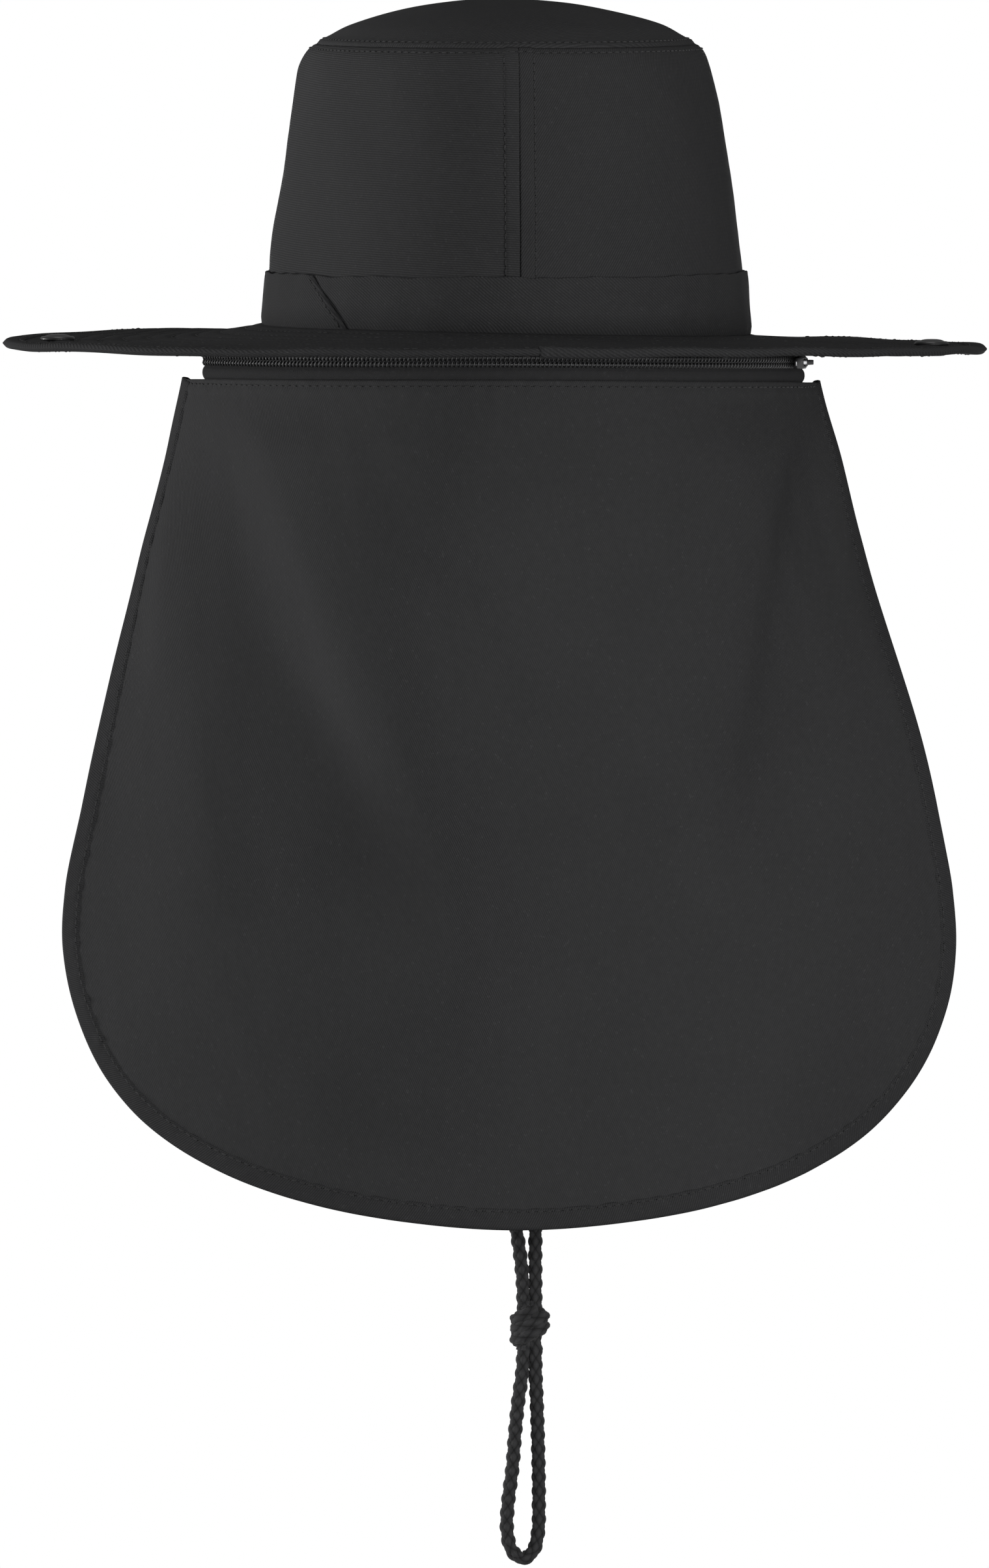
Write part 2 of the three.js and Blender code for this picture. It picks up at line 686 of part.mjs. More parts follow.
/** The flap's cloth inside its binding, a patch between the zip, the sides and the bottom. */
function flapCloth() {
  const [columns, rowsDown] = [flapColumns, flapRows];
  const inset = flapBindingWidth + gap;
  const side = (share) => edgePlace(lerp(0, flapCorner, share), inset);
  const foot = (share) => edgePlace(lerp(flapCorner, 1 - flapCorner, share), inset);
  const [top, low] = [side(0), side(1)];
  const patch = (across, share) => {
    const edge = side(share);
    const bottom = foot(across);
    const wide = (value) => lerp(value, -value, across);
    const round = lerp(wide(top.round), bottom.round, share) + wide(edge.round - lerp(top.round, low.round, share));
    const topDown = top.down * (2 * across - 1) ** 8;
    const down = lerp(topDown, bottom.down, share) + edge.down - lerp(top.down, low.down, share);
    return { round, down };
  };
  const rings = [];
  for (let column = 0; column <= columns; column += 1) {
    const outer = [];
    const inner = [];
    for (let row = 0; row <= rowsDown; row += 1) {
      const place = patch(column / columns, row / rowsDown);
      outer.push(flapPoint(place.round, place.down, flapWall / 2));
      inner.push(flapPoint(place.round, place.down, -flapWall / 2));
    }
    rings.push([...outer, ...inner.reverse()]);
  }
  return loft(rings, false);
}

/** The tape round the flap's free edge, with a section at each row and column of the cloth. */
function flapBinding() {
  const sides = Array.from({ length: flapRows }, (_, row) => (flapCorner * row) / flapRows);
  const foot = Array.from({ length: flapColumns + 1 }, (_, column) => lerp(flapCorner, 1 - flapCorner, column / flapColumns));
  const places = [...sides, ...foot, ...sides.map((share) => 1 - share).reverse()];
  const half = flapBindingWall / 2;
  const rings = [];
  for (const along of places) {
    const at = (inset, lift) => {
      const place = edgePlace(along, inset);
      return flapPoint(place.round, place.down, lift * half);
    };
    rings.push([
      at(flapBindingWidth, bindingHem), at(flapBindingWidth * bindingCrest, 1), at(0, bindingRim),
      at(0, -bindingRim), at(flapBindingWidth * bindingCrest, -1), at(flapBindingWidth, -bindingHem),
    ]);
  }
  return loft(rings, false);
}

/** A length of cord along a hand-chosen route. */
function cordSolid(route) {
  const curve = new THREE.CatmullRomCurve3(route.map((point) => new THREE.Vector3(...point)));
  const section = new THREE.Shape();
  for (let k = 0; k < cordSides; k += 1) {
    const angle = ((k + 0.5) / cordSides) * 2 * PI;
    const [x, y] = [(cordDiameter / 2) * cos(angle), (cordDiameter / 2) * sin(angle)];
    if (k === 0) section.moveTo(x, y);
    else section.lineTo(x, y);
  }
  section.closePath();
  const steps = Math.round(curve.getLength() / (cordDiameter * 2.9));
  return new THREE.ExtrudeGeometry(section, { steps, bevelEnabled: false, extrudePath: curve });
}

/** The knot: a barrel with two turns of cord wound slantwise round it. */
function knotSolid() {
  const end = knotHeight / 2;
  const barrel = new THREE.LatheGeometry([
    [0, -end], [cordDiameter * 1.08, -end], [knotRadius, -end * 0.6],
    [knotRadius, end * 0.6], [cordDiameter * 1.08, end], [0, end],
  ].map(([radius, height]) => new THREE.Vector2(radius, height)), 14);
  barrel.rotateX(PI / 2);
  let solid = solidOf(barrel);
  for (const rise of [-0.45, 0.45]) {
    const turn = new THREE.TorusGeometry(knotRadius * 0.9, cordDiameter * 0.5, 8, 16);
    turn.scale(1.05, 0.95, 1);
    turn.translate(0, 0, rise * cordDiameter);
    turn.rotateY(degToRad(-24));
    solid = solid.add(solidOf(turn));
  }
  const geometry = geometryOf(solid);
  geometry.translate(knotCentre.x, knotCentre.y, knotCentre.z);
  return geometry;
}

addPiece('crown_tip', crownTip(), finish.crownCloth);
addPiece('crown_side_left', crownSide(PI / 2), finish.crownCloth);
addPiece('crown_side_right', crownSide(-PI / 2), finish.crownCloth);
addPiece('hat_band', hatBand(), finish.bandCloth);

const snapSeats = { snap_left: snapSeat(-1), snap_right: snapSeat(1) };
let brimSolid = solidOf(brimCloth());
for (const [name, seat] of Object.entries(snapSeats)) {
  addPiece(name, snapSolid(seat), finish.snapPaint);
  brimSolid = brimSolid.subtract(solidOf(snapHole(seat)));
}
addPiece('brim', geometryOf(brimSolid), finish.crownCloth);
addPiece('brim_binding', brimBinding(), finish.tape);

const coilFaces = [-coilThickness / 2, coilThickness / 2];
const tapeFaces = [-tapeWall / 2, tapeWall / 2];
const upperTapeFaces = [-upperTapeWidth / 2, upperTapeWidth / 2];
addPiece('zip_tape_upper', zipStrip(-zipEnd, zipEnd, 0, tapeWall, ...upperTapeFaces), finish.zipTape);
addPiece('zip_coil', zipStrip(-zipEnd, coilEnd, coilTop, coilFoot, ...coilFaces), finish.nylon);
addPiece('zip_tape_lower', zipStrip(-zipEnd, zipEnd, lowerTapeTop, lowerTapeFoot, ...tapeFaces), finish.zipTape);

const slider = new THREE.Group();
slider.position.copy(zipPlan(sliderAngle)).setZ(zipHang(sliderAngle) - (coilTop + coilFoot) / 2);
slider.rotation.z = sliderAngle - PI / 2;
hat.add(slider);
addPiece('zip_slider', sliderSolid(), finish.metal, slider);
const pull = new THREE.Group();
pull.position.set(sliderThickness / 2 + (archRise - archThickness) / 2, 0, 0);
pull.rotation.z = degToRad(pullRestAngle);
slider.add(pull);
addPiece('zip_pull', pullSolid(), finish.metal, pull);

addPiece('neck_flap', flapCloth(), finish.flapCloth);
addPiece('flap_binding', flapBinding(), finish.tape);

addPiece('chin_cord_left', cordSolid(cordRoutes.left), finish.cord);
addPiece('chin_cord_right', cordSolid(cordRoutes.right), finish.cord);
addPiece('chin_knot', knotSolid(), finish.cord);
addPiece('chin_cord_loop', cordSolid(cordRoutes.loop), finish.cord);

export default hat;
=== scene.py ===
"""A dark bush hat with a zip-on neck flap and a braided chin cord, dressed for a studio picture.

Lengths are metres. +Z is up and the wearer faces +Y, so the flap hangs at -Y. The form of the
hat repeats the solids' own sizes, and every cloth piece sits in the space of its solid.
"""
from __future__ import annotations

import logging
import math
from dataclasses import dataclass
from enum import Enum
from typing import Callable, Iterable, Sequence

import bmesh
import bpy
import numpy as np
from mathutils import Matrix, Vector


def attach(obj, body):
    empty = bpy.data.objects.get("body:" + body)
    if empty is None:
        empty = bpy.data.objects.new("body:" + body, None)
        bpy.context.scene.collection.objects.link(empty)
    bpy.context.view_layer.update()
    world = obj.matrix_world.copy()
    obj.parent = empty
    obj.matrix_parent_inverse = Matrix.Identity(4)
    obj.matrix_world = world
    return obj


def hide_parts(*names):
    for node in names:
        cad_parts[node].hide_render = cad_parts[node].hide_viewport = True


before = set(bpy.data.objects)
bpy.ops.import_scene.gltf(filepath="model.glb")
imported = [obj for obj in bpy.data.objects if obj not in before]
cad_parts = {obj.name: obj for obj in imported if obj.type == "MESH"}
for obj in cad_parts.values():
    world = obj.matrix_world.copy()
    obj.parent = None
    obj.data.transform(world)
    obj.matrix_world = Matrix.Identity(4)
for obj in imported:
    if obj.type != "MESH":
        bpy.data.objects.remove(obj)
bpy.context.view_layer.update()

log = logging.getLogger("bush_hat")
logging.basicConfig(level=logging.INFO, format="%(message)s")

Array = np.ndarray
Surface = Callable[[Array, Array], Array]
Pair = tuple[Array, Array]
Laid = Callable[[Array, Array], Pair]
Piece = bpy.types.Object
Socket = bpy.types.NodeSocket

MM = 0.001
HAT_BODY = "hat"
PULL_BODY = "pull"
SMALLEST = 1e-7


def points_of(x: Array, y: Array, z: Array) -> Array:
    """Joins three coordinates into an array of points."""
    return np.stack(np.broadcast_arrays(x, y, z), axis=-1)


def flat_of(across: Array, along: Array) -> Array:
    """Joins two coordinates into an array of flat places."""
    return np.stack([across, along], axis=-1)


def mix(low: Array, high: Array, share: Array) -> Array:
    """The value a share of the way from low to high."""
    return low + (high - low) * share


def ease(value: Array, low: float, high: float) -> Array:
    """A smooth step from 0 at low to 1 at high."""
    share = np.clip((value - low) / (high - low), 0, 1)
    return share * share * (3 - 2 * share)


def bump_at(distance: Array, spread: float) -> Array:
    """A rounded bump of height 1 that fades over a spread."""
    return np.exp(-((distance / spread) ** 2))


def unit(vectors: Array) -> Array:
    """Vectors of length one."""
    return vectors / np.maximum(np.linalg.norm(vectors, axis=-1, keepdims=True), SMALLEST)


def smooth_line(points: Sequence[Sequence[float]], count: int) -> Array:
    """Samples one smooth curve through points at even steps of its length.

    Args:
        points: The points that the curve passes, in two or three dimensions.
        count: How many samples to give back, both ends included.

    Returns:
        The samples, one row each.
    """
    known = np.array(points, float)
    padded = np.vstack([2 * known[0] - known[1], known, 2 * known[-1] - known[-2]])
    samples = []
    steps = 40
    for k in range(len(known) - 1):
        before, start, end, after = padded[k:k + 4]
        spans = [max(np.linalg.norm(b - a) ** 0.5, SMALLEST)
                 for a, b in ((before, start), (start, end), (end, after))]
        leave = ((start - before) / spans[0] - (end - before) / (spans[0] + spans[1])
                 + (end - start) / spans[1]) * spans[1]
        arrive = ((end - start) / spans[1] - (after - start) / (spans[1] + spans[2])
                  + (after - end) / spans[2]) * spans[1]
        t = np.arange(steps)[:, None] / steps
        samples.append(start + leave * t
                       + (3 * (end - start) - 2 * leave - arrive) * t ** 2
                       + (2 * (start - end) + leave + arrive) * t ** 3)
    line = np.vstack([*samples, known[-1:]])
    length = run_length(line)
    even = np.linspace(0, length[-1], count)
    return np.stack([np.interp(even, length, line[:, axis]) for axis in range(line.shape[1])], axis=-1)


def run_length(line: Array) -> Array:
    """The length travelled along a line at each of its points."""
    steps = np.linalg.norm(np.diff(line, axis=0), axis=1)
    return np.concatenate([[0.0], np.cumsum(steps)])


class Ripples:
    """Soft uneven waves over a cloth, a sum of sines with seeded directions and phases."""

    def __init__(self, seed: int, shortest: float, longest: float, waves: int = 14) -> None:
        """Draws the waves.

        Args:
            seed: Where the random draws start.
            shortest: Shortest wavelength.
            longest: Longest wavelength.
            waves: How many waves are summed.
        """
        draw = np.random.RandomState(seed)
        lengths = shortest * (longest / shortest) ** draw.rand(waves)
        turns = draw.rand(waves) * 2 * math.pi
        self.across = 2 * math.pi / lengths * np.cos(turns)
        self.along = 2 * math.pi / lengths * np.sin(turns)
        self.phase = draw.rand(waves) * 2 * math.pi
        self.share = 1 / math.sqrt(waves / 2)

    def at(self, across: Array, along: Array) -> Array:
        """The height of the waves at places, about -1 to 1.

        Args:
            across: First coordinate on the cloth.
            along: Second coordinate on the cloth.

        Returns:
            The heights.
        """
        total = np.zeros(np.broadcast(across, along).shape)
        for a, b, phase in zip(self.across, self.along, self.phase):
            total = total + np.sin(a * across + b * along + phase)
        return total * self.share * 0.6


@dataclass
class HatForm:
    """The shape that crown, band, brim and zip share."""

    clearance: float = 0.3 * MM
    crown_half_width: float = 88.9 * MM
    oval_extra_length: float = 13 * MM
    crown_height: float = 104.5 * MM
    crown_wall: float = 1.6 * MM
    seam_roll: float = 2 * MM
    seam_dip: float = 0.6 * MM
    brim_half_width: float = 182.2 * MM
    brim_half_length: float = 188 * MM
    brim_shift: float = -4.1 * MM
    brim_wall: float = 2.2 * MM
    brim_droop: float = 8 * MM
    binding_width: float = 8 * MM
    zip_half_width: float = 117.2 * MM
    zip_half_bend: float = math.radians(72)
    zip_half_angle: float = math.radians(64)
    zip_oval_ratio: float = 1.105
    upper_tape_width: float = 10 * MM
    lean_share: float = 0.86
    hang_reach: float = 1.6
    halvings: int = 24
    # Height share and width share of the crown's wall
    crown_profile: tuple = (
        (0, 1), (0.23, 0.98), (0.5, 0.938), (0.75, 0.8945), (0.877, 0.867),
        (0.923, 0.853), (0.969, 0.829), (0.992, 0.807), (1, 0.787),
    )
    # Drop share and flare of the brim, every 45 degrees from the wearer's right
    brim_profile: tuple = (
        (1.07, 5), (1.15, 4), (1, 3), (0.75, 3), (0.78, 4), (0.72, 3), (0.59, 3), (0.78, 4),
    )

    def __post_init__(self) -> None:
        """Works out what the shared curves need."""
        rows = [(width * self.crown_half_width, height * self.crown_height)
                for height, width in self.crown_profile]
        self.wall_line = smooth_line(rows, 400)
        self.wall_share = np.linspace(0, 1, len(self.wall_line))
        self.wall_length = float(run_length(self.wall_line)[-1])
        self.zip_oval = self.zip_half_width / math.sin(self.zip_half_bend)
        self.zip_back = self.zip_oval * self.zip_oval_ratio
        angles = np.linspace(-self.hang_reach, self.hang_reach, 321)
        self._hang_angles = angles
        self._hang = self._hang_from_brim(angles)

    def oval(self, half_width: Array, angle: Array, height: Array) -> Array:
        """Points on an oval round the hat's axis."""
        return points_of(half_width * np.cos(angle),
                         (half_width + self.oval_extra_length) * np.sin(angle), height)

    def seam_height(self, angle: Array) -> Array:
        """Height of the seam between crown and brim."""
        return -self.seam_dip * np.cos(angle) ** 2 - self.seam_roll * np.cos(angle)

    def crown_half_at(self, height: Array) -> Array:
        """Outer half-width of the crown at a height."""
        return np.interp(height, self.wall_line[:, 1], self.wall_line[:, 0])

    def crown_wall_at(self, angle: Array, share: Array, lift: Array = 0.0) -> Array:
        """Points of the crown's outer face, from its foot (share 0) to the tip seam (1).

        Args:
            angle: Direction round the hat.
            share: Height share.
            lift: Distance out from the face.

        Returns:
            The points.
        """
        half = np.interp(share, self.wall_share, self.wall_line[:, 0])
        height = np.interp(share, self.wall_share, self.wall_line[:, 1])
        foot = self.seam_height(angle) + self.clearance
        height = height + foot * (1 - height / self.crown_height)
        lean = ease(share, self.lean_share, 1.0)
        return self.oval(half + lift * (1 - lean), angle, height + lift * lean)

    def round_value(self, column: int, angle: Array) -> Array:
        """A column of the brim's profile at an angle, joined smoothly round the hat.

        Args:
            column: Column of the profile.
            angle: Direction round the hat.

        Returns:
            The value at each angle.
        """
        values = np.array([row[column] for row in self.brim_profile], float)
        place = np.mod(angle / (2 * math.pi), 1) * len(values)
        first = np.floor(place).astype(int)
        share = place - first
        before, low, high, after = (values[(first + k) % len(values)] for k in (-1, 0, 1, 2))
        return low + 0.5 * share * (high - before + share * (
            2 * before - 5 * low + 4 * high - after + share * (3 * (low - high) + after - before)))

    def brim(self, angle: Array, share: Array, lift: Array = 0.0) -> Array:
        """Points in the brim's thickness, from its root (share 0) to its edge (1).

        Args:
            angle: Direction round the hat.
            share: Share of the way out.
            lift: Height over the middle.

        Returns:
            The points.
        """
        root = self.oval(self.crown_half_width - self.crown_wall, angle, np.zeros_like(angle))
        edge_x = self.brim_shift + self.brim_half_width * np.cos(angle)
        edge_y = self.brim_half_length * np.sin(angle)
        flare = self.round_value(1, angle)
        drop = self.brim_droop * self.round_value(0, angle)
        root_height = self.seam_height(angle) - self.brim_wall / 2
        fall = 1 - np.clip(1 - share, 0, 1) ** flare
        return points_of(mix(root[..., 0], edge_x, share), mix(root[..., 1], edge_y, share),
                         mix(root_height, -drop, fall) + lift)

    def brim_width(self, angle: Array) -> Array:
        """Width of the brim in plan at an angle."""
        flat = self.brim(angle, np.ones_like(angle)) - self.brim(angle, np.zeros_like(angle))
        return np.hypot(flat[..., 0], flat[..., 1])

    def brim_place(self, x: Array, y: Array) -> Pair:
        """Angle and share of the brim at a point of the plan, found by halving.

        Args:
            x: Place across.
            y: Place from back to front.

        Returns:
            The angles and the shares.
        """
        low, high = np.zeros_like(x), np.ones_like(x)
        inner_x = self.crown_half_width - self.crown_wall
        inner_y = inner_x + self.oval_extra_length
        for _ in range(self.halvings):
            middle = (low + high) / 2
            half_x = mix(inner_x, self.brim_half_width, middle)
            half_y = mix(inner_y, self.brim_half_length, middle)
            inside = ((x - self.brim_shift * middle) / half_x) ** 2 + (y / half_y) ** 2 < 1
            high = np.where(inside, middle, high)
            low = np.where(inside, low, middle)
        half_x = mix(inner_x, self.brim_half_width, low)
        half_y = mix(inner_y, self.brim_half_length, low)
        return np.arctan2(y / half_y, (x - self.brim_shift * low) / half_x), low

    def zip_plan(self, angle: Array, outwards: Array, height: Array) -> Array:
        """Points on the zip's oval, an angle away from the centre of the back."""
        return points_of(self.brim_shift + (self.zip_oval + outwards) * np.sin(angle),
                         -(self.zip_back + outwards) * np.cos(angle), height)

    def _hang_from_brim(self, angle: Array) -> Array:
        """Height from which the zip hangs, worked out under the brim.

        Args:
            angle: Angle away from the centre of the back.

        Returns:
            The heights.
        """
        below = []
        for reach in (-self.upper_tape_width / 2, self.upper_tape_width / 2):
            plan = self.zip_plan(angle, reach, np.zeros_like(angle))
            at, share = self.brim_place(plan[..., 0], plan[..., 1])
            below.append(self.brim(at, share, -self.brim_wall / 2)[..., 2])
        return np.minimum(*below) - self.clearance

    def zip_hang(self, angle: Array) -> Array:
        """Height from which the zip hangs, just under the brim."""
        return np.interp(angle, self._hang_angles, self._hang)


def new_object(name: str, mesh: bpy.types.Mesh) -> Piece:
    """Puts a mesh in the scene as a named object at the origin.

    Args:
        name: Name of the object.
        mesh: Its mesh.

    Returns:
        The object.
    """
    piece = bpy.data.objects.new(name, mesh)
    bpy.context.scene.collection.objects.link(piece)
    return piece


def finish_bmesh(name: str, bm: bmesh.types.BMesh, smooth: bool = True) -> Piece:
    """Turns a bmesh into an object and frees it.

    Args:
        name: Name of the object.
        bm: The bmesh.
        smooth: Whether faces are shaded smooth.

    Returns:
        The object.
    """
    for face in bm.faces:
        face.smooth = smooth
    mesh = bpy.data.meshes.new(name)
    bm.to_mesh(mesh)
    bm.free()
    return new_object(name, mesh)


def cloth_grid(name: str, columns: int, rows: int, lay: Laid, closed: bool = False,
               away_from: Vector | None = None) -> Piece:
    """Makes a cloth from a flat grid, laid over a surface.

    Args:
        name: Name of the piece.
        columns: Faces across.
        rows: Faces along.
        lay: Gives the points and their flat places in metres for two shares of 0 to 1.
        closed: Whether the cloth meets itself, so that doubles merge and ends are filled.
        away_from: A point that an open cloth's faces turn away from.

    Returns:
        The cloth as an object.
    """
    bm = bmesh.new()
    bmesh.ops.create_grid(bm, x_segments=columns, y_segments=rows, size=0.5)
    bm.verts.index_update()
    shares = np.array([vertex.co[:2] for vertex in bm.verts], float) + 0.5
    places, flat = lay(shares[:, 0], shares[:, 1])
    layer = bm.loops.layers.uv.new("UVMap")
    for face in bm.faces:
        for loop in face.loops:
            loop[layer].uv = flat[loop.vert.index]
    for vertex, point in zip(bm.verts, places):
        vertex.co = point
    if closed:
        bmesh.ops.remove_doubles(bm, verts=bm.verts, dist=2e-6)
        rims = [edge for edge in bm.edges if edge.is_boundary]
        if rims:
            bmesh.ops.holes_fill(bm, edges=rims, sides=0)
        bmesh.ops.recalc_face_normals(bm, faces=bm.faces)
    if away_from is not None:
        bm.normal_update()
        facing = sum((face.calc_center_median() - away_from).dot(face.normal) * face.calc_area()
                     for face in bm.faces)
        if facing < 0:
            bmesh.ops.reverse_faces(bm, faces=bm.faces)
    return finish_bmesh(name, bm)


def give_wall(piece: Piece, thickness: float, offset: float = -1) -> None:
    """Gives an open cloth its thickness, inwards from its face.

    Args:
        piece: The open cloth.
        thickness: Thickness of the wall.
        offset: -1 puts the wall inside the face.
    """
    wall = piece.modifiers.new("wall", "SOLIDIFY")
    wall.thickness = thickness
    wall.offset = offset
    wall.use_even_offset = False


def spun(name: str, profile: Sequence[tuple[float, float]], seat: Matrix, sides: int) -> Piece:
    """Spins a profile of radius and height into a round piece on its seat.

    Args:
        name: Name of the piece.
        profile: Radius and height of each corner.
        seat: Where the piece sits.
        sides: Faces round it.

    Returns:
        The piece.
    """
    bm = bmesh.new()
    corners = [bm.verts.new((radius, 0, height)) for radius, height in profile]
    edges = [bm.edges.new(pair) for pair in zip(corners, corners[1:])]
    bmesh.ops.spin(bm, geom=corners + edges, cent=(0, 0, 0), axis=(0, 0, 1), dvec=(0, 0, 0),
                   angle=2 * math.pi, steps=sides, use_merge=True, use_duplicate=False)
    bmesh.ops.remove_doubles(bm, verts=bm.verts, dist=1e-6)
    bmesh.ops.recalc_face_normals(bm, faces=bm.faces)
    bmesh.ops.transform(bm, matrix=seat, verts=bm.verts)
    return finish_bmesh(name, bm)


def bevelled_copy(name: str, node: str, width: float, segments: int = 3) -> Piece:
    """Copies a hard solid and rounds its edges.

    Args:
        name: Name of the new piece.
        node: The solid's node.
        width: Width of the rounding.
        segments: Faces across the rounding.

    Returns:
        The rounded copy.
    """
    bm = bmesh.new()
    bm.from_mesh(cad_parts[node].data)
    bmesh.ops.remove_doubles(bm, verts=bm.verts, dist=1e-6)
    bmesh.ops.dissolve_limit(bm, angle_limit=math.radians(2), verts=bm.verts, edges=bm.edges)
    sharp = [edge for edge in bm.edges if edge.calc_face_angle(0) > math.radians(20)]
    bmesh.ops.bevel(bm, geom=sharp, offset=width, segments=segments, profile=0.5,
                    affect="EDGES", material=-1, clamp_overlap=True)
    return finish_bmesh(name, bm)


@dataclass(frozen=True)
class Thread:
    """A sewing thread's stitch, whose ends dive into the cloth."""

    pitch: float = 3.2 * MM
    radius: float = 0.3 * MM
    dive: float = 0.3 * MM
    bluntness: float = 0.55
    height_share: float = 0.75
    lean: float = 0.05
    wander: float = 0.2 * MM
    sides: int = 5
    rings: int = 4

    def form(self) -> tuple[Array, list[tuple[int, ...]], Array]:
        """One stitch about the origin, along X: its points, its faces and its pattern.

        Returns:
            Points, faces and pattern.
        """
        bm = bmesh.new()
        bmesh.ops.create_uvsphere(bm, u_segments=self.sides, v_segments=self.rings, radius=1)
        bm.verts.index_update()
        points = np.array([vertex.co[:] for vertex in bm.verts], float)
        faces = [tuple(vertex.index for vertex in face.verts) for face in bm.faces]
        bm.free()
        along = np.sign(points[:, 2]) * np.abs(points[:, 2]) ** self.bluntness
        placed = points_of(along * self.pitch / 2, points[:, 1] * self.radius,
                           points[:, 0] * self.radius - self.dive * along ** 2)
        return placed, faces, flat_of(along, np.arctan2(points[:, 1], points[:, 0]) / (2 * math.pi))


class Sewing:
    """Rows of stitches, joined into one piece."""

    def __init__(self, thread: Thread, seed: int) -> None:
        """Starts with no rows.

        Args:
            thread: The thread that is sewn with.
            seed: Where the small irregularities start.
        """
        self.thread = thread
        self.draw = np.random.RandomState(seed)
        self.origins: list[Array] = []
        self.turns: list[Array] = []

    def row(self, surface: Surface, across: Array, along: Array, side: float = 1.0) -> None:
        """Sews one row on a surface.

        Args:
            surface: Gives a point for two coordinates.
            across: First coordinate at places along the row.
            along: Second coordinate at the same places.
            side: 1 where the coordinates run right-handed seen from the thread's side, otherwise -1.
        """
        thread = self.thread
        travelled = run_length(surface(across, along))
        count = int(travelled[-1] / thread.pitch)
        middle = (np.arange(count) + 0.5) * travelled[-1] / count
        reach = thread.pitch * 0.4

        def at(distance: Array) -> Array:
            """A point of the row at a distance along it."""
            return surface(np.interp(distance, travelled, across), np.interp(distance, travelled, along))

        first_place, second_place = (np.interp(middle, travelled, places) for places in (across, along))
        nudge = max(np.ptp(across), np.ptp(along), SMALLEST) * 1e-4
        origin = surface(first_place, second_place)
        first = surface(first_place + nudge, second_place) - origin
        second = surface(first_place, second_place + nudge) - origin
        normal = side * unit(np.cross(unit(first), unit(second)))
        tangent = unit(at(middle + reach) - at(middle - reach))
        beside = unit(np.cross(normal, tangent))
        lean = self.draw.normal(0, thread.lean, (count, 1))
        tangent = unit(tangent + beside * lean)
        beside = np.cross(normal, tangent)
        origin = origin + normal * thread.radius * thread.height_share + beside * (lean * thread.wander)
        self.origins.append(origin)
        self.turns.append(np.stack([tangent, beside, normal], axis=1))

    def piece(self, name: str) -> Piece:
        """Joins all rows into one object.

        Args:
            name: Name of the piece.

        Returns:
            The stitches as an object.
        """
        points, faces, pattern = self.thread.form()
        origins, turns = np.concatenate(self.origins), np.concatenate(self.turns)
        placed = np.einsum("kj,njc->nkc", points, turns) + origins[:, None, :]
        every = [tuple(corner + k * len(points) for corner in face)
                 for k in range(len(origins)) for face in faces]
        mesh = bpy.data.meshes.new(name)
        mesh.from_pydata(placed.reshape(-1, 3), [], every)
        corners = np.zeros(len(mesh.loops), int)
        mesh.loops.foreach_get("vertex_index", corners)
        mesh.uv_layers.new(name="UVMap").data.foreach_set("uv", pattern[corners % len(points)].ravel())
        mesh.shade_smooth()
        return new_object(name, mesh)


class Tree:
    """A node tree under construction."""

    def __init__(self, tree: bpy.types.NodeTree, given: dict | None = None,
                 result: dict | None = None) -> None:
        """Holds the tree that nodes are added to.

        Args:
            tree: The tree.
            given: A group's input sockets, by name.
            result: A group's output sockets, by name.
        """
        self.tree = tree
        self.given = given or {}
        self.result = result or {}

    def node(self, kind: str, **inputs: object) -> bpy.types.Node:
        """Adds a node and sets or links its inputs, named with _ for a space.

        Args:
            kind: Kind of node.
            inputs: Values or outputs for its inputs.

        Returns:
            The node.
        """
        made = self.tree.nodes.new(kind)
        for name, value in inputs.items():
            self.feed(made.inputs[name.replace("_", " ")], value)
        return made

    def feed(self, socket: Socket, value: object) -> None:
        """Links an output to a socket, or sets the socket's own value.

        Args:
            socket: The input.
            value: A value or an output.
        """
        if isinstance(value, bpy.types.NodeSocket):
            self.tree.links.new(value, socket)
        else:
            socket.default_value = value

    def sum(self, operation: str, *values: object, clamp: bool = False) -> Socket:
        """Adds a Math node and gives its output.

        Args:
            operation: What is worked out.
            clamp: Whether the result stays within 0 to 1.
            values: Values or outputs.

        Returns:
            The output.
        """
        made = self.tree.nodes.new("ShaderNodeMath")
        made.operation = operation
        made.use_clamp = clamp
        for socket, value in zip(made.inputs, values):
            self.feed(socket, value)
        return made.outputs[0]

    def wave(self, phase: object) -> Socket:
        """Gives a cosine of a phase, raised to run from 0 to 1."""
        return self.sum("MULTIPLY_ADD", self.sum("COSINE", phase), 0.5, 0.5)

    def noise(self, vector: object, scale: float, detail: float = 2.0) -> Socket:
        """Adds a noise texture and gives its value."""
        return self.node("ShaderNodeTexNoise", Vector=vector, Scale=scale, Detail=detail).outputs[0]


def shader_group(name: str, inputs: dict[str, tuple[str, object]], outputs: Iterable[str],
                 fill: Callable[[Tree], None]) -> bpy.types.NodeTree:
    """Makes a shader node group.

    Args:
        name: Name of the group.
        inputs: Kind and default of each input socket, by name.
        outputs: Names of the value outputs.
        fill: Adds the nodes to the tree.

    Returns:
        The group's node tree.
    """
    group = bpy.data.node_groups.new(name, "ShaderNodeTree")
    for label, (kind, default) in inputs.items():
        socket = group.interface.new_socket(name=label, in_out="INPUT", socket_type=kind)
        if default is not None:
            socket.default_value = default
    for label in outputs:
        group.interface.new_socket(name=label, in_out="OUTPUT", socket_type="NodeSocketFloat")
    source = group.nodes.new("NodeGroupInput")
    target = group.nodes.new("NodeGroupOutput")
    fill(Tree(group, {label: source.outputs[label] for label in inputs},
              {label: target.inputs[label] for label in outputs}))
    return group


FLOAT = "NodeSocketFloat"
VECTOR = "NodeSocketVector"


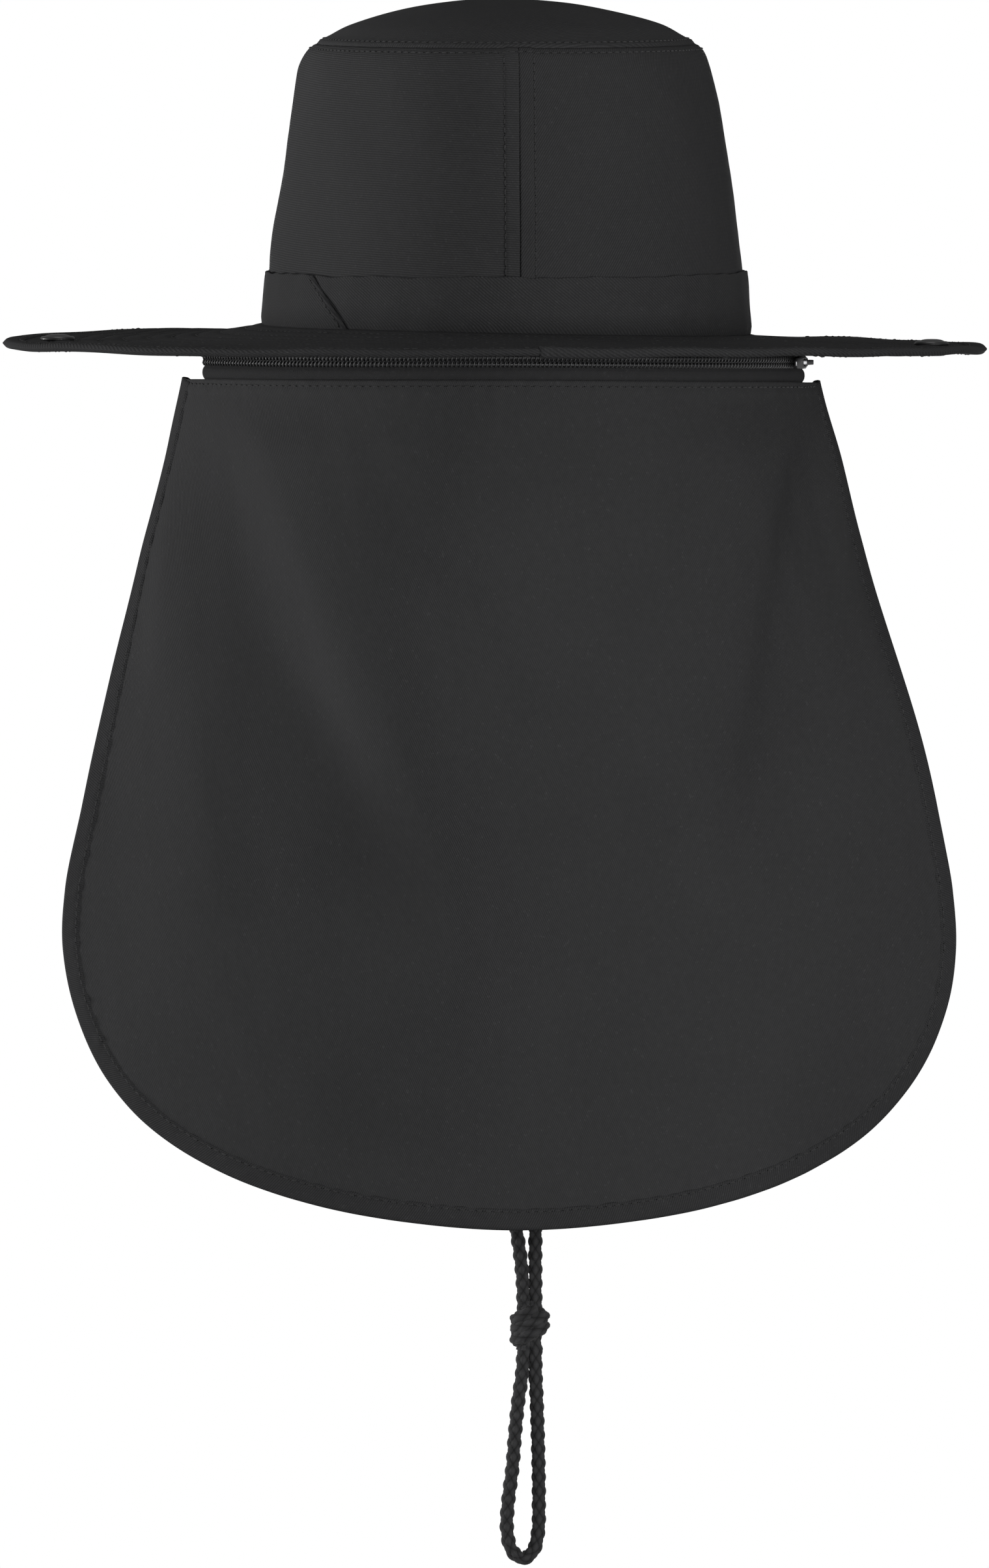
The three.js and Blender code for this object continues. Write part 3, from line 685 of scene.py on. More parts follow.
def fill_twill(tree: Tree) -> None:
    """Twill: slanted ridges of yarn, each broken into short floats like bricks.

    Args:
        tree: The group's tree, with its sockets.
    """
    split = tree.node("ShaderNodeSeparateXYZ", Vector=tree.given["Vector"])
    across, along = split.outputs[0], split.outputs[1]
    cosine = tree.sum("COSINE", tree.given["Slant"])
    sine = tree.sum("SINE", tree.given["Slant"])
    drift = tree.sum("SUBTRACT", tree.noise(tree.given["Vector"], scale=90.0, detail=3.0), 0.5)
    drift = tree.sum("MULTIPLY", drift, tree.given["Wander"])
    over = tree.sum("SUBTRACT", tree.sum("MULTIPLY", along, cosine), tree.sum("MULTIPLY", across, sine))
    ridge_at = tree.sum("ADD", tree.sum("DIVIDE", over, tree.given["Pitch"]), drift)
    ridge = tree.wave(tree.sum("MULTIPLY", ridge_at, 2 * math.pi))
    down = tree.sum("ADD", tree.sum("MULTIPLY", across, cosine), tree.sum("MULTIPLY", along, sine))
    brick = tree.sum("MULTIPLY", tree.sum("FLOOR", tree.sum("ADD", ridge_at, 0.5)), 0.37)
    float_at = tree.sum("ADD", tree.sum("DIVIDE", down, tree.given["Float"]), brick)
    floats = tree.wave(tree.sum("MULTIPLY", float_at, 2 * math.pi))
    rounded = tree.sum("POWER", ridge, 0.7)
    broken = tree.sum("MULTIPLY", rounded, tree.sum("MULTIPLY_ADD", floats, 0.3, 0.7))
    hair = tree.sum("MULTIPLY_ADD", tree.noise(tree.given["Vector"], scale=2600.0, detail=3.0), 0.5, -0.25)
    tree.feed(tree.result["Height"], tree.sum("ADD", broken, hair))
    tree.feed(tree.result["Shade"], broken)


def fill_tone(tree: Tree) -> None:
    """Uneven dye: broad soft clouds, mottled yarn and a few pale specks of lint.

    Args:
        tree: The group's tree, with its sockets.
    """
    clouds = tree.noise(tree.given["Vector"], scale=14.0, detail=2.0)
    mottle = tree.noise(tree.given["Vector"], scale=420.0, detail=3.0)
    lint = tree.noise(tree.given["Vector"], scale=900.0, detail=0.0)
    speck = tree.node("ShaderNodeMapRange", Value=lint, From_Min=0.74, From_Max=0.8).outputs[0]
    broad = tree.sum("MULTIPLY", tree.sum("SUBTRACT", clouds, 0.5), tree.given["Clouds"])
    small = tree.sum("MULTIPLY", tree.sum("SUBTRACT", mottle, 0.5), tree.given["Mottle"])
    total = tree.sum("ADD", tree.sum("ADD", broad, small), 1.0)
    tree.feed(tree.result["Tone"], tree.sum("MULTIPLY_ADD", speck, tree.given["Lint"], total))
    tree.feed(tree.result["Grain"], mottle)


def fill_herringbone(tree: Tree) -> None:
    """Herringbone tape: the slant of the ridges turns over at every wale.

    Args:
        tree: The group's tree, with its sockets.
    """
    split = tree.node("ShaderNodeSeparateXYZ", Vector=tree.given["Vector"])
    across, along = split.outputs[0], split.outputs[1]
    fold = tree.sum("PINGPONG", along, tree.given["Wale"])
    over = tree.sum("ADD", across, fold)
    phase = tree.sum("MULTIPLY", tree.sum("DIVIDE", over, tree.given["Pitch"]), 2 * math.pi)
    ridge = tree.wave(phase)
    wale = tree.sum("MULTIPLY", tree.sum("DIVIDE", along, tree.given["Wale"]), 2 * math.pi)
    valley = tree.sum("MULTIPLY_ADD", tree.sum("COSINE", wale), 0.12, 0.88)
    tree.feed(tree.result["Height"], tree.sum("MULTIPLY", ridge, valley))


def fill_yarn(tree: Tree) -> None:
    """Braided strands: many fine fibres that run along each strand, and painted shade where the strands dip
    between each other.

    Args:
        tree: The group's tree, with its sockets.
    """
    split = tree.node("ShaderNodeSeparateXYZ", Vector=tree.given["Vector"])
    stretched = tree.node("ShaderNodeCombineXYZ", X=tree.sum("MULTIPLY", split.outputs[0], 380.0),
                          Y=tree.sum("MULTIPLY", split.outputs[1], 2600.0))
    fibres = tree.noise(stretched.outputs[0], scale=1.0, detail=3.0)
    fuzz = tree.noise(tree.given["Vector"], scale=3400.0, detail=2.0)
    around = tree.sum("MULTIPLY", split.outputs[1], tree.given["Around"])
    swells = [tree.sum("ABSOLUTE", tree.sum("SINE", tree.sum("MULTIPLY_ADD", split.outputs[0], lay, around)))
              for lay in (tree.given["Lay"], tree.sum("MULTIPLY", tree.given["Lay"], -1.0))]
    swell = tree.sum("POWER", tree.sum("MULTIPLY", *swells), 0.4)
    tree.feed(tree.result["Height"], tree.sum("MULTIPLY_ADD", fuzz, 0.35, fibres))
    # Lit is low where the strands dip between each other: painted shade, multiplied into the colour.
    tree.feed(tree.result["Lit"], tree.sum("MULTIPLY_ADD", swell, 0.95, 0.25))


def fill_scuff(tree: Tree) -> None:
    """Handling marks on a hard finish: fine scratches and cloudy smears.

    Args:
        tree: The group's tree, with its sockets.
    """
    split = tree.node("ShaderNodeSeparateXYZ", Vector=tree.given["Vector"])
    drawn = tree.node("ShaderNodeCombineXYZ", X=split.outputs[0],
                      Y=tree.sum("MULTIPLY", split.outputs[1], 14.0), Z=split.outputs[2])
    scratches = tree.noise(drawn.outputs[0], scale=900.0, detail=4.0)
    smears = tree.noise(tree.given["Vector"], scale=260.0, detail=2.0)
    marks = tree.node("ShaderNodeMapRange", Value=scratches, From_Min=0.55, From_Max=0.75).outputs[0]
    tree.feed(tree.result["Marks"], tree.sum("MULTIPLY", marks, tree.given["Amount"]))
    tree.feed(tree.result["Smears"], smears)


def fill_stitch(tree: Tree) -> None:
    """Twisted sewing thread, with painted shade where it dives into its needle holes.

    Args:
        tree: The group's tree, with its sockets.
    """
    split = tree.node("ShaderNodeSeparateXYZ", Vector=tree.given["Vector"])
    along, around = split.outputs[0], split.outputs[1]
    turned = tree.sum("MULTIPLY", tree.sum("MULTIPLY_ADD", along, 3.4, around), 4 * math.pi)
    plies = tree.wave(turned)
    out = tree.sum("ABSOLUTE", along)
    # lit falls towards the stitch's ends: painted shade of the needle holes, multiplied into the colour.
    lit = tree.node("ShaderNodeMapRange", Value=out, From_Min=0.58, From_Max=0.7, To_Min=1.0, To_Max=0.05)
    tree.feed(tree.result["Height"], tree.sum("MULTIPLY", plies, lit.outputs[0]))
    tree.feed(tree.result["Lit"], lit.outputs[0])


class Effects:
    """The shader effects that the finishes share, each built once."""

    def __init__(self) -> None:
        """Builds the groups."""
        self.twill = shader_group(
            "twill_weave",
            {"Vector": (VECTOR, None), "Pitch": (FLOAT, 0.8 * MM), "Slant": (FLOAT, 0.6),
             "Float": (FLOAT, 1.5 * MM), "Wander": (FLOAT, 0.5)}, ("Height", "Shade"), fill_twill)
        self.tone = shader_group(
            "dye_tone",
            {"Vector": (VECTOR, None), "Clouds": (FLOAT, 0.3), "Mottle": (FLOAT, 0.3), "Lint": (FLOAT, 0.3)},
            ("Tone", "Grain"), fill_tone)
        self.herringbone = shader_group(
            "herringbone_weave",
            {"Vector": (VECTOR, None), "Pitch": (FLOAT, 0.6 * MM), "Wale": (FLOAT, 1.2 * MM)},
            ("Height",), fill_herringbone)
        cord = ChinCord()
        self.yarn = shader_group(
            "yarn_fibres",
            {"Vector": (VECTOR, None), "Around": (FLOAT, cord.strands / cord.diameter),
             "Lay": (FLOAT, math.pi / cord.lay_length)}, ("Height", "Lit"), fill_yarn)
        self.stitch = shader_group(
            "twisted_stitch", {"Vector": (VECTOR, None)}, ("Height", "Lit"), fill_stitch)
        self.scuff = shader_group(
            "handling_marks", {"Vector": (VECTOR, None), "Amount": (FLOAT, 0.5)},
            ("Marks", "Smears"), fill_scuff)


class Weave(Enum):
    """How a cloth finish is woven."""

    TWILL = "twill"
    HERRINGBONE = "herringbone"
    BRAID = "braid"
    THREAD = "thread"


@dataclass(frozen=True)
class ClothFinish:
    """A dark cloth, tape, braid or thread."""

    name: str
    color: tuple[float, float, float]
    weave: Weave = Weave.TWILL
    roughness: float = 0.86
    sheen: float = 0.0
    pitch: float = 0.8 * MM
    slant_degrees: float = 40.0
    float_length: float = 1.7 * MM
    wander: float = 0.7
    relief: float = 0.16 * MM
    painted_shade_depth: float = 0.5
    clouds: float = 0.32
    mottle: float = 0.3
    lint: float = 0.25
    grain: float = 0.12

    def build(self, effects: Effects) -> bpy.types.Material:
        """Makes the material.

        Args:
            effects: The shared shader effects.

        Returns:
            The finished material.
        """
        material = bpy.data.materials.new(self.name)
        material.use_nodes = True
        tree = Tree(material.node_tree)
        shader = material.node_tree.nodes["Principled BSDF"]
        flat = tree.node("ShaderNodeUVMap")
        flat.uv_map = "UVMap"
        place = tree.node("ShaderNodeTexCoord").outputs["Object"]
        weave = self._weave(tree, effects, flat.outputs[0])
        height = weave.outputs["Height"]
        tone = tree.node("ShaderNodeGroup")
        tone.node_tree = effects.tone
        for label, value in (("Vector", place), ("Clouds", self.clouds),
                             ("Mottle", self.mottle), ("Lint", self.lint)):
            tree.feed(tone.inputs[label], value)
        # The weave's height darkens the colour in its grooves and lightens it on its ridges: painted shade
        # and light of the weave, times the dye's random tone.
        painted_weave_shade = tree.sum("MULTIPLY_ADD", height, self.painted_shade_depth, 1 - self.painted_shade_depth * 0.5)
        tone_and_painted_shade = tree.sum("MULTIPLY", painted_weave_shade, tone.outputs["Tone"])
        # Braid and thread also multiply in their group's Lit: painted shade in the braid's gaps and at the
        # stitches' needle holes.
        if self.weave in (Weave.THREAD, Weave.BRAID):
            tone_and_painted_shade = tree.sum("MULTIPLY", tone_and_painted_shade, weave.outputs["Lit"])
        color = tree.node("ShaderNodeMix")
        color.data_type = "RGBA"
        color.blend_type = "MULTIPLY"
        tree.feed(color.inputs[0], 1.0)
        tree.feed(color.inputs[6], (*self.color, 1.0))
        grey = tree.node("ShaderNodeCombineColor", Red=tone_and_painted_shade, Green=tone_and_painted_shade, Blue=tone_and_painted_shade)
        tree.feed(color.inputs[7], grey.outputs[0])
        tree.feed(shader.inputs["Base Color"], color.outputs[2])
        rough = tree.sum("MULTIPLY_ADD", tone.outputs["Grain"], self.grain,
                         self.roughness - self.grain / 2, clamp=True)
        tree.feed(shader.inputs["Roughness"], rough)
        bump = tree.node("ShaderNodeBump", Strength=1.0, Distance=self.relief, Height=height)
        tree.feed(shader.inputs["Normal"], bump.outputs[0])
        shader.inputs["Specular IOR Level"].default_value = 0.1
        shader.inputs["Sheen Weight"].default_value = self.sheen
        shader.inputs["Sheen Roughness"].default_value = 0.5
        return material

    def _weave(self, tree: Tree, effects: Effects, flat: object) -> bpy.types.Node:
        """Places the weave's group on the flat pattern.

        Args:
            tree: The material's tree.
            effects: The shared shader effects.
            flat: The pattern's coordinates.

        Returns:
            The group's node.
        """
        group = tree.node("ShaderNodeGroup")
        if self.weave is Weave.TWILL:
            group.node_tree = effects.twill
            for label, value in (("Pitch", self.pitch), ("Slant", math.radians(self.slant_degrees)),
                                 ("Float", self.float_length), ("Wander", self.wander)):
                tree.feed(group.inputs[label], value)
        elif self.weave is Weave.HERRINGBONE:
            group.node_tree = effects.herringbone
            tree.feed(group.inputs["Pitch"], self.pitch)
            tree.feed(group.inputs["Wale"], self.float_length)
        elif self.weave is Weave.THREAD:
            group.node_tree = effects.stitch
        else:
            group.node_tree = effects.yarn
        tree.feed(group.inputs["Vector"], flat)
        return group


@dataclass(frozen=True)
class HardFinish:
    """An enamelled, nylon or metal finish."""

    name: str
    color: tuple[float, float, float]
    roughness: float
    metallic: float = 0.0
    coat: float = 0.0
    marks: float = 0.4
    relief: float = 0.01 * MM
    smears: float = 0.2
    worn: float = 2.2

    def build(self, effects: Effects) -> bpy.types.Material:
        """Makes the material from the shared effects.

        Args:
            effects: The shared shader effects.

        Returns:
            The finished material.
        """
        material = bpy.data.materials.new(self.name)
        material.use_nodes = True
        tree = Tree(material.node_tree)
        shader = material.node_tree.nodes["Principled BSDF"]
        place = tree.node("ShaderNodeTexCoord").outputs["Object"]
        scuff = tree.node("ShaderNodeGroup")
        scuff.node_tree = effects.scuff
        tree.feed(scuff.inputs["Vector"], place)
        tree.feed(scuff.inputs["Amount"], self.marks)
        ramp = tree.node("ShaderNodeMix")
        ramp.data_type = "RGBA"
        tree.feed(ramp.inputs[0], scuff.outputs["Marks"])
        tree.feed(ramp.inputs[6], (*self.color, 1.0))
        tree.feed(ramp.inputs[7], (*(min(1.0, channel * self.worn + 0.01) for channel in self.color), 1.0))
        tree.feed(shader.inputs["Base Color"], ramp.outputs[2])
        rough = tree.sum("MULTIPLY_ADD", scuff.outputs["Smears"], self.smears,
                         self.roughness - self.smears / 2, clamp=True)
        tree.feed(shader.inputs["Roughness"], rough)
        bump = tree.node("ShaderNodeBump", Strength=1.0, Distance=self.relief, Height=scuff.outputs["Smears"])
        tree.feed(shader.inputs["Normal"], bump.outputs[0])
        shader.inputs["Metallic"].default_value = self.metallic
        shader.inputs["Coat Weight"].default_value = self.coat
        shader.inputs["Coat Roughness"].default_value = 0.2
        return material


class Look(Enum):
    """The finishes of the hat, by name."""

    CROWN_LEFT = ClothFinish("crown_twill_left", (0.034, 0.034, 0.035), slant_degrees=-2, pitch=0.85 * MM)
    CROWN_RIGHT = ClothFinish("crown_twill_right", (0.033, 0.033, 0.034), slant_degrees=56, pitch=0.85 * MM)
    CROWN_TIP = ClothFinish("crown_twill_tip", (0.034, 0.034, 0.035), slant_degrees=24, pitch=0.85 * MM)
    BAND = ClothFinish("band_twill", (0.032, 0.032, 0.033), slant_degrees=-38, pitch=0.95 * MM)
    BRIM = ClothFinish("brim_twill", (0.033, 0.033, 0.034), slant_degrees=-30, pitch=0.85 * MM)
    BINDING = ClothFinish("binding_twill", (0.032, 0.032, 0.033), slant_degrees=-24, pitch=0.95 * MM,
                          float_length=1.4 * MM)
    FLAP = ClothFinish("flap_twill", (0.036, 0.036, 0.037), slant_degrees=-66, pitch=0.7 * MM,
                       relief=0.12 * MM, painted_shade_depth=0.34)
    FLAP_BINDING = ClothFinish("flap_binding_twill", (0.031, 0.031, 0.032), slant_degrees=62,
                               pitch=0.8 * MM, float_length=1.4 * MM, relief=0.12 * MM)
    ZIP_TAPE = ClothFinish("zip_tape_weave", (0.030, 0.030, 0.031), weave=Weave.HERRINGBONE,
                           pitch=0.62 * MM, float_length=1.3 * MM, relief=0.12 * MM)
    CORD = ClothFinish("cord_braid_yarn", (0.034, 0.034, 0.035), weave=Weave.BRAID,
                       relief=0.12 * MM, sheen=0.08)
    THREAD = ClothFinish("sewing_thread", (0.040, 0.040, 0.041), weave=Weave.THREAD,
                         relief=0.06 * MM, sheen=0.1)
    ZIP_NYLON = HardFinish("zip_nylon", (0.030, 0.030, 0.031), roughness=0.42, marks=0.2)
    ZIP_METAL = HardFinish("zip_metal", (0.20, 0.20, 0.205), roughness=0.34, metallic=0.9, marks=0.5)
    SNAP_ENAMEL = HardFinish("snap_enamel", (0.028, 0.028, 0.029), roughness=0.38, coat=0.3, marks=0.35)


class Wardrobe:
    """Hands out the hat's materials and puts finished pieces on their bodies."""

    def __init__(self) -> None:
        """Starts with the shared effects and no materials."""
        self.effects = Effects()
        self.made: dict[Look, bpy.types.Material] = {}

    def dress(self, piece: Piece, look: Look, slot: str, *nodes: str,
              body: str = HAT_BODY) -> Piece:
        """Gives a piece its finish and its body, and hides the solids that it stands for.

        Args:
            piece: The finished piece.
            look: Which finish it has.
            slot: Not used.
            nodes: The solids that it stands for.
            body: The body that it moves with.

        Returns:
            The piece.
        """
        if look not in self.made:
            self.made[look] = look.value.build(self.effects)
        piece.data.materials.clear()
        piece.data.materials.append(self.made[look])
        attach(piece, body)
        if nodes:
            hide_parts(*nodes)
        log.info("%s: %d faces", piece.name, len(piece.data.polygons))
        return piece


@dataclass
class ChinCord:
    """The braided chin cord: two strands from the brim to a knot, and the loop below it."""

    diameter: float = 4 * MM
    sides: int = 24
    step: float = 0.5 * MM
    strands: int = 4
    lay_length: float = 5.2 * MM
    relief: float = 1.0 * MM
    loft: float = 0.75 * MM
    dive_depth: float = 0.55
    left_length: float = 0.378
    right_length: float = 0.37
    loop_length: float = 0.164
    knot_centre: tuple = (8.6, -4, -370.3)
    knot_half: tuple = (4.5, 3.9)
    knot_rise: float = 3.5
    knot_slant: float = 0.36
    knot_turns: tuple = (-0.18, 2.62)
    knot_tuck: float = 0.28
    knot_middle_turn: float = 1.2
    knot_steps: int = 170
    left_route: tuple = (
        (-90, -2, -2.4), (-89.6, -2.2, -18), (-87.5, -2.6, -45), (-82, -3, -82), (-73, -3.4, -122),
        (-60.5, -3.8, -164), (-45, -4, -206), (-28.5, -4, -246), (-13.5, -4, -282), (-3.5, -4, -308),
        (1.9, -4, -326), (4.5, -4, -340), (5.9, -4, -352), (6.4, -4, -363.2),
    )
    right_route: tuple = (
        (89, -2, -6.1), (88.8, -2.2, -20), (87, -2.6, -45), (82.5, -3, -82), (74.5, -3.4, -122),
        (63.5, -3.8, -164), (50.5, -4, -206), (36.5, -4, -246), (23.5, -4, -282), (14.5, -4, -308),
        (11.2, -4, -326), (10.7, -4, -340), (10.7, -4, -352), (10.7, -4, -363.2),
    )
    loop_route: tuple = (
        (6.4, -4, -377.4), (5.8, -4, -388), (4.4, -4, -398), (3.2, -4, -410), (2.2, -4, -423),
        (0.6, -4, -436), (0.2, -4, -446), (2, -4, -453.6), (6, -4, -456.6), (9.8, -4, -454),
        (11.7, -4, -447), (12, -4, -436), (11.9, -4, -423), (11.6, -4, -410), (11.2, -4, -398),
        (10.8, -4, -388), (10.7, -4, -377.4),
    )

    def braid_radius(self, travelled: Array, turn: Array) -> Array:
        """Radius of the braid's surface, where strands pass over and under each other.

        Args:
            travelled: Length along the cord.
            turn: Share of a turn round it.

        Returns:
            The radius at each place.
        """
        first = self.strands * turn + travelled / self.lay_length
        second = self.strands * turn - travelled / self.lay_length
        on_top = (np.floor(first) + np.floor(second)) % 2 == 0
        across = np.where(on_top, first, second) % 1
        along = np.where(on_top, second, first) % 1
        crown = np.abs(np.sin(math.pi * across)) ** 0.55
        dive = 1 - self.dive_depth + self.dive_depth * np.abs(np.sin(math.pi * along)) ** 0.7
        return self.diameter / 2 - self.relief * (1 - crown * dive) + self.loft

    def tube(self, name: str, line: Array, thin: Array | float = 1.0,
             phase: float = 0.0) -> Piece:
        """Makes a braided tube along a line.

        Args:
            name: Name of the piece.
            line: Points of the centreline, evenly spaced, in metres.
            thin: Share of the full radius along the line.
            phase: Where the braid starts, in metres along the cord.

        Returns:
            The tube.
        """
        travelled = run_length(line)
        tangents = unit(np.gradient(line, axis=0))
        side = np.zeros_like(tangents)
        side[0] = unit(np.cross(tangents[0], (0.03, 1, 0.02)))
        for k in range(1, len(line)):
            side[k] = unit(side[k - 1] - tangents[k] * np.dot(side[k - 1], tangents[k]))
        third = np.cross(tangents, side)
        shares = np.linspace(0, 1, len(line))
        thin_line = np.broadcast_to(thin, shares.shape)

        def lay(along: Array, around: Array) -> Pair:
            """A point of the tube, and its length along the cord and round it."""
            row = np.rint(along * (len(line) - 1)).astype(int)
            turn = np.mod(around, 1)
            radius = self.braid_radius(travelled[row] + phase, turn) * thin_line[row]
            angle = turn * 2 * math.pi
            place = (line[row] + side[row] * (radius * np.cos(angle))[:, None]
                     + third[row] * (radius * np.sin(angle))[:, None])
            return place, flat_of(along * travelled[-1] + phase, around * math.pi * self.diameter)

        return cloth_grid(name, len(line) - 1, self.sides, lay, closed=True)

    def line(self, route: Sequence[Sequence[float]]) -> Array:
        """The centreline of a route of points in millimetres, in even fine steps.

        Args:
            route: Points in millimetres.

        Returns:
            Points of the centreline in metres.
        """
        rough = smooth_line(np.array(route) * MM, 200)
        count = int(run_length(rough)[-1] / self.step)
        return smooth_line(np.array(route) * MM, count)

    def knot(self) -> Piece:
        """Two slanting turns of cord wound round both strands, and the strands inside them.

        Returns:
            The knot as one object.
        """
        centre = np.array(self.knot_centre)
        first, last = self.knot_turns
        turns = np.linspace(first, last, 260)
        angle = turns * 2 * math.pi + math.pi * 0.5
        ends = np.minimum(ease(turns, first, first + self.knot_tuck),
                          1 - ease(turns, last - self.knot_tuck, last))
        tuck = mix(0.35, 1.0, ends)
        x = self.knot_half[0] * np.cos(angle) * tuck
        y = self.knot_half[1] * np.sin(angle) * tuck
        z = (turns - self.knot_middle_turn) * self.knot_rise + x * self.knot_slant
        wound = smooth_line((centre + points_of(x, y, z)) * MM, self.knot_steps)
        stout = mix(0.8, 1.16, ease(np.linspace(0, 1, self.knot_steps), 0, 0.08))
        pieces = [self.tube("chin_knot", wound, stout)]
        overlap = np.array([0, 0, 2])
        for side, start, end in ((-1, self.left_route[-1], self.loop_route[0]),
                                 (1, self.right_route[-1], self.loop_route[-1])):
            middle = centre + np.array([side * 1.5, 0, 0])
            inner = np.array([np.array(start) + overlap, middle, np.array(end) - overlap])
            pieces.append(self.tube("knot_strand", smooth_line(inner * MM, 40), 1.05))
        bm = bmesh.new()
        for piece in pieces:
            bm.from_mesh(piece.data)
        for piece in pieces:
            mesh = piece.data
            bpy.data.objects.remove(piece)
            bpy.data.meshes.remove(mesh)
        return finish_bmesh("chin_knot_wound", bm)

    def build(self, wardrobe: Wardrobe) -> None:
        """Makes the strands, the loop and the knot; each strand's length sets where its braid starts.

        Args:
            wardrobe: Hands out the finishes.
        """
        knot = wardrobe.dress(self.knot(), Look.CORD, "cord_braid", "chin_knot")
        strands = (
            ("chin_cord_left", self.left_route, self.left_length, [knot]),
            ("chin_cord_right", self.right_route, self.right_length, []),
            ("chin_cord_loop", self.loop_route, self.loop_length, []),
        )
        for node, route, length, on_it in strands:
            line = self.line(route)
            piece = self.tube(node + "_braided", line, phase=0.3 * length)
            wardrobe.dress(piece, Look.CORD, "cord_braid", node)


@dataclass
class Crown:
    """The crown: two side panels with a felled seam at the back, and the domed tip."""

    form: HatForm
    seam_pad: float = 0.5 * MM
    seam_lap: float = 0.06 * MM
    seam_crease: float = 0.42 * MM
    crease_spread: float = 0.24 * MM
    pad_edge: tuple = (4.6 * MM, 6.6 * MM)
    topstitch: float = 5.5 * MM
    thread_dent: float = 0.28 * MM
    wave_height: float = 0.6 * MM
    pucker: float = 0.12 * MM
    tip_rise: float = 13.9 * MM
    tip_wall: float = 1.6 * MM
    tip_seat: float = 0.35 * MM
    columns: int = 210
    rows: int = 80
    tip_columns: int = 110
    tip_stitch: float = 0.972
    tip_row: float = 0.966
    sewn_share: tuple = (0.16, 0.955)
    # Radius share and rise share of the tip
    tip_profile: tuple = (
        (0, 1.06), (0.16, 1.05), (0.36, 0.96), (0.6, 0.735), (0.82, 0.42), (0.95, 0.07), (1, -0.03),
    )

    def __post_init__(self) -> None:
        """Draws the soft waves of the cloth."""
        self.waves = Ripples(11, 26 * MM, 90 * MM)
        self.creases = Ripples(12, 7 * MM, 20 * MM)
        line = smooth_line([(rise, radius) for radius, rise in self.tip_profile], 300)
        self.tip_line = line[:, ::-1]

    def wall(self, angle: Array, share: Array) -> Array:
        """Points of the crown's outer face with its seams, stitch rows and soft waves.

        Args:
            angle: Direction round the hat.
            share: Height share.

        Returns:
            The points.
        """
        form = self.form
        half = np.interp(share, form.wall_share, form.wall_line[:, 0])
        from_seam = np.abs(half * np.cos(angle))
        pad = self.seam_pad * (1 - ease(from_seam, *self.pad_edge))
        pad = pad - self.seam_crease * bump_at(from_seam, self.crease_spread)
        pad = pad - self.thread_dent * bump_at(from_seam - self.topstitch, 0.5 * MM)
        around = angle * form.crown_half_width
        up = share * form.wall_length
        soft = self.wave_height * self.waves.at(around * 0.8, up * 0.7)
        soft = soft + 0.04 * MM * self.creases.at(around, up)
        near_seam = self.pucker * np.sin(up * 2 * math.pi / (7 * MM) + 3 * np.sin(up / (9 * MM)))
        soft = soft + near_seam * bump_at(from_seam - 3.5 * MM, 4 * MM)
        held = (1 - ease(share, 0.9, 0.99)) * ease(share, 0.0, 0.12)
        top = -0.3 * MM * bump_at(share - self.tip_stitch, 0.005)
        return form.crown_wall_at(angle, share, pad + soft * held + top)

    def panel(self, name: str, start: float) -> Piece:
        """One side panel, half way round from an angle.

        Args:
            name: Name of the piece.
            start: Angle where the panel begins.

        Returns:
            The panel.
        """
        form = self.form
        trim = -self.seam_lap / form.crown_half_width
        mean = form.crown_half_width * 0.93 + form.oval_extra_length / 2

        def lay(across: Array, along: Array) -> Pair:
            """A point of the panel, with columns closer together at the seams."""
            even = mix(across, 0.5 - 0.5 * np.cos(math.pi * across), 0.68)
            angle = start + trim + even * (math.pi - 2 * trim)
            return self.wall(angle, along), flat_of(angle * mean, along * form.wall_length)

        piece = cloth_grid(name, self.columns, self.rows, lay, away_from=Vector((0, 0, 0.05)))
        give_wall(piece, form.crown_wall)
        return piece

    def tip_point(self, x: Array, y: Array) -> Array:
        """A point of the domed tip for a place in a unit disc.

        Args:
            x: Share of the way to the right.
            y: Share of the way to the front.

        Returns:
            The points.
        """
        form = self.form
        radius = np.minimum(np.hypot(x, y), 1.0)
        rim = form.crown_profile[-1][1] * form.crown_half_width
        rise = np.interp(radius, self.tip_line[:, 0], self.tip_line[:, 1]) * self.tip_rise
        relief = -0.25 * MM * bump_at(radius - self.tip_row, 0.007) - 1.1 * MM * ease(radius, 0.988, 1.0)
        soft = 0.25 * MM * self.waves.at(x * rim + 0.4, y * rim) * (1 - ease(radius, 0.8, 0.98))
        base = form.crown_height + form.clearance + self.tip_wall - self.tip_seat
        return points_of(x * rim, y * (rim + form.oval_extra_length), base + rise + relief + soft)

    def tip(self) -> Piece:
        """The domed tip, a square of cloth shaped into a disc.

        Returns:
            The tip.
        """
        rim = self.form.crown_profile[-1][1] * self.form.crown_half_width

        def lay(across: Array, along: Array) -> Pair:
            """A point of the tip, for a square drawn out to a disc."""
            u, v = 2 * across - 1, 2 * along - 1
            x, y = u * np.sqrt(1 - v * v / 2), v * np.sqrt(1 - u * u / 2)
            return self.tip_point(x, y), flat_of(x, y) * rim

        piece = cloth_grid("crown_tip_cloth", self.tip_columns, self.tip_columns, lay,
                           away_from=Vector((0, 0, 0)))
        give_wall(piece, self.tip_wall)
        return piece

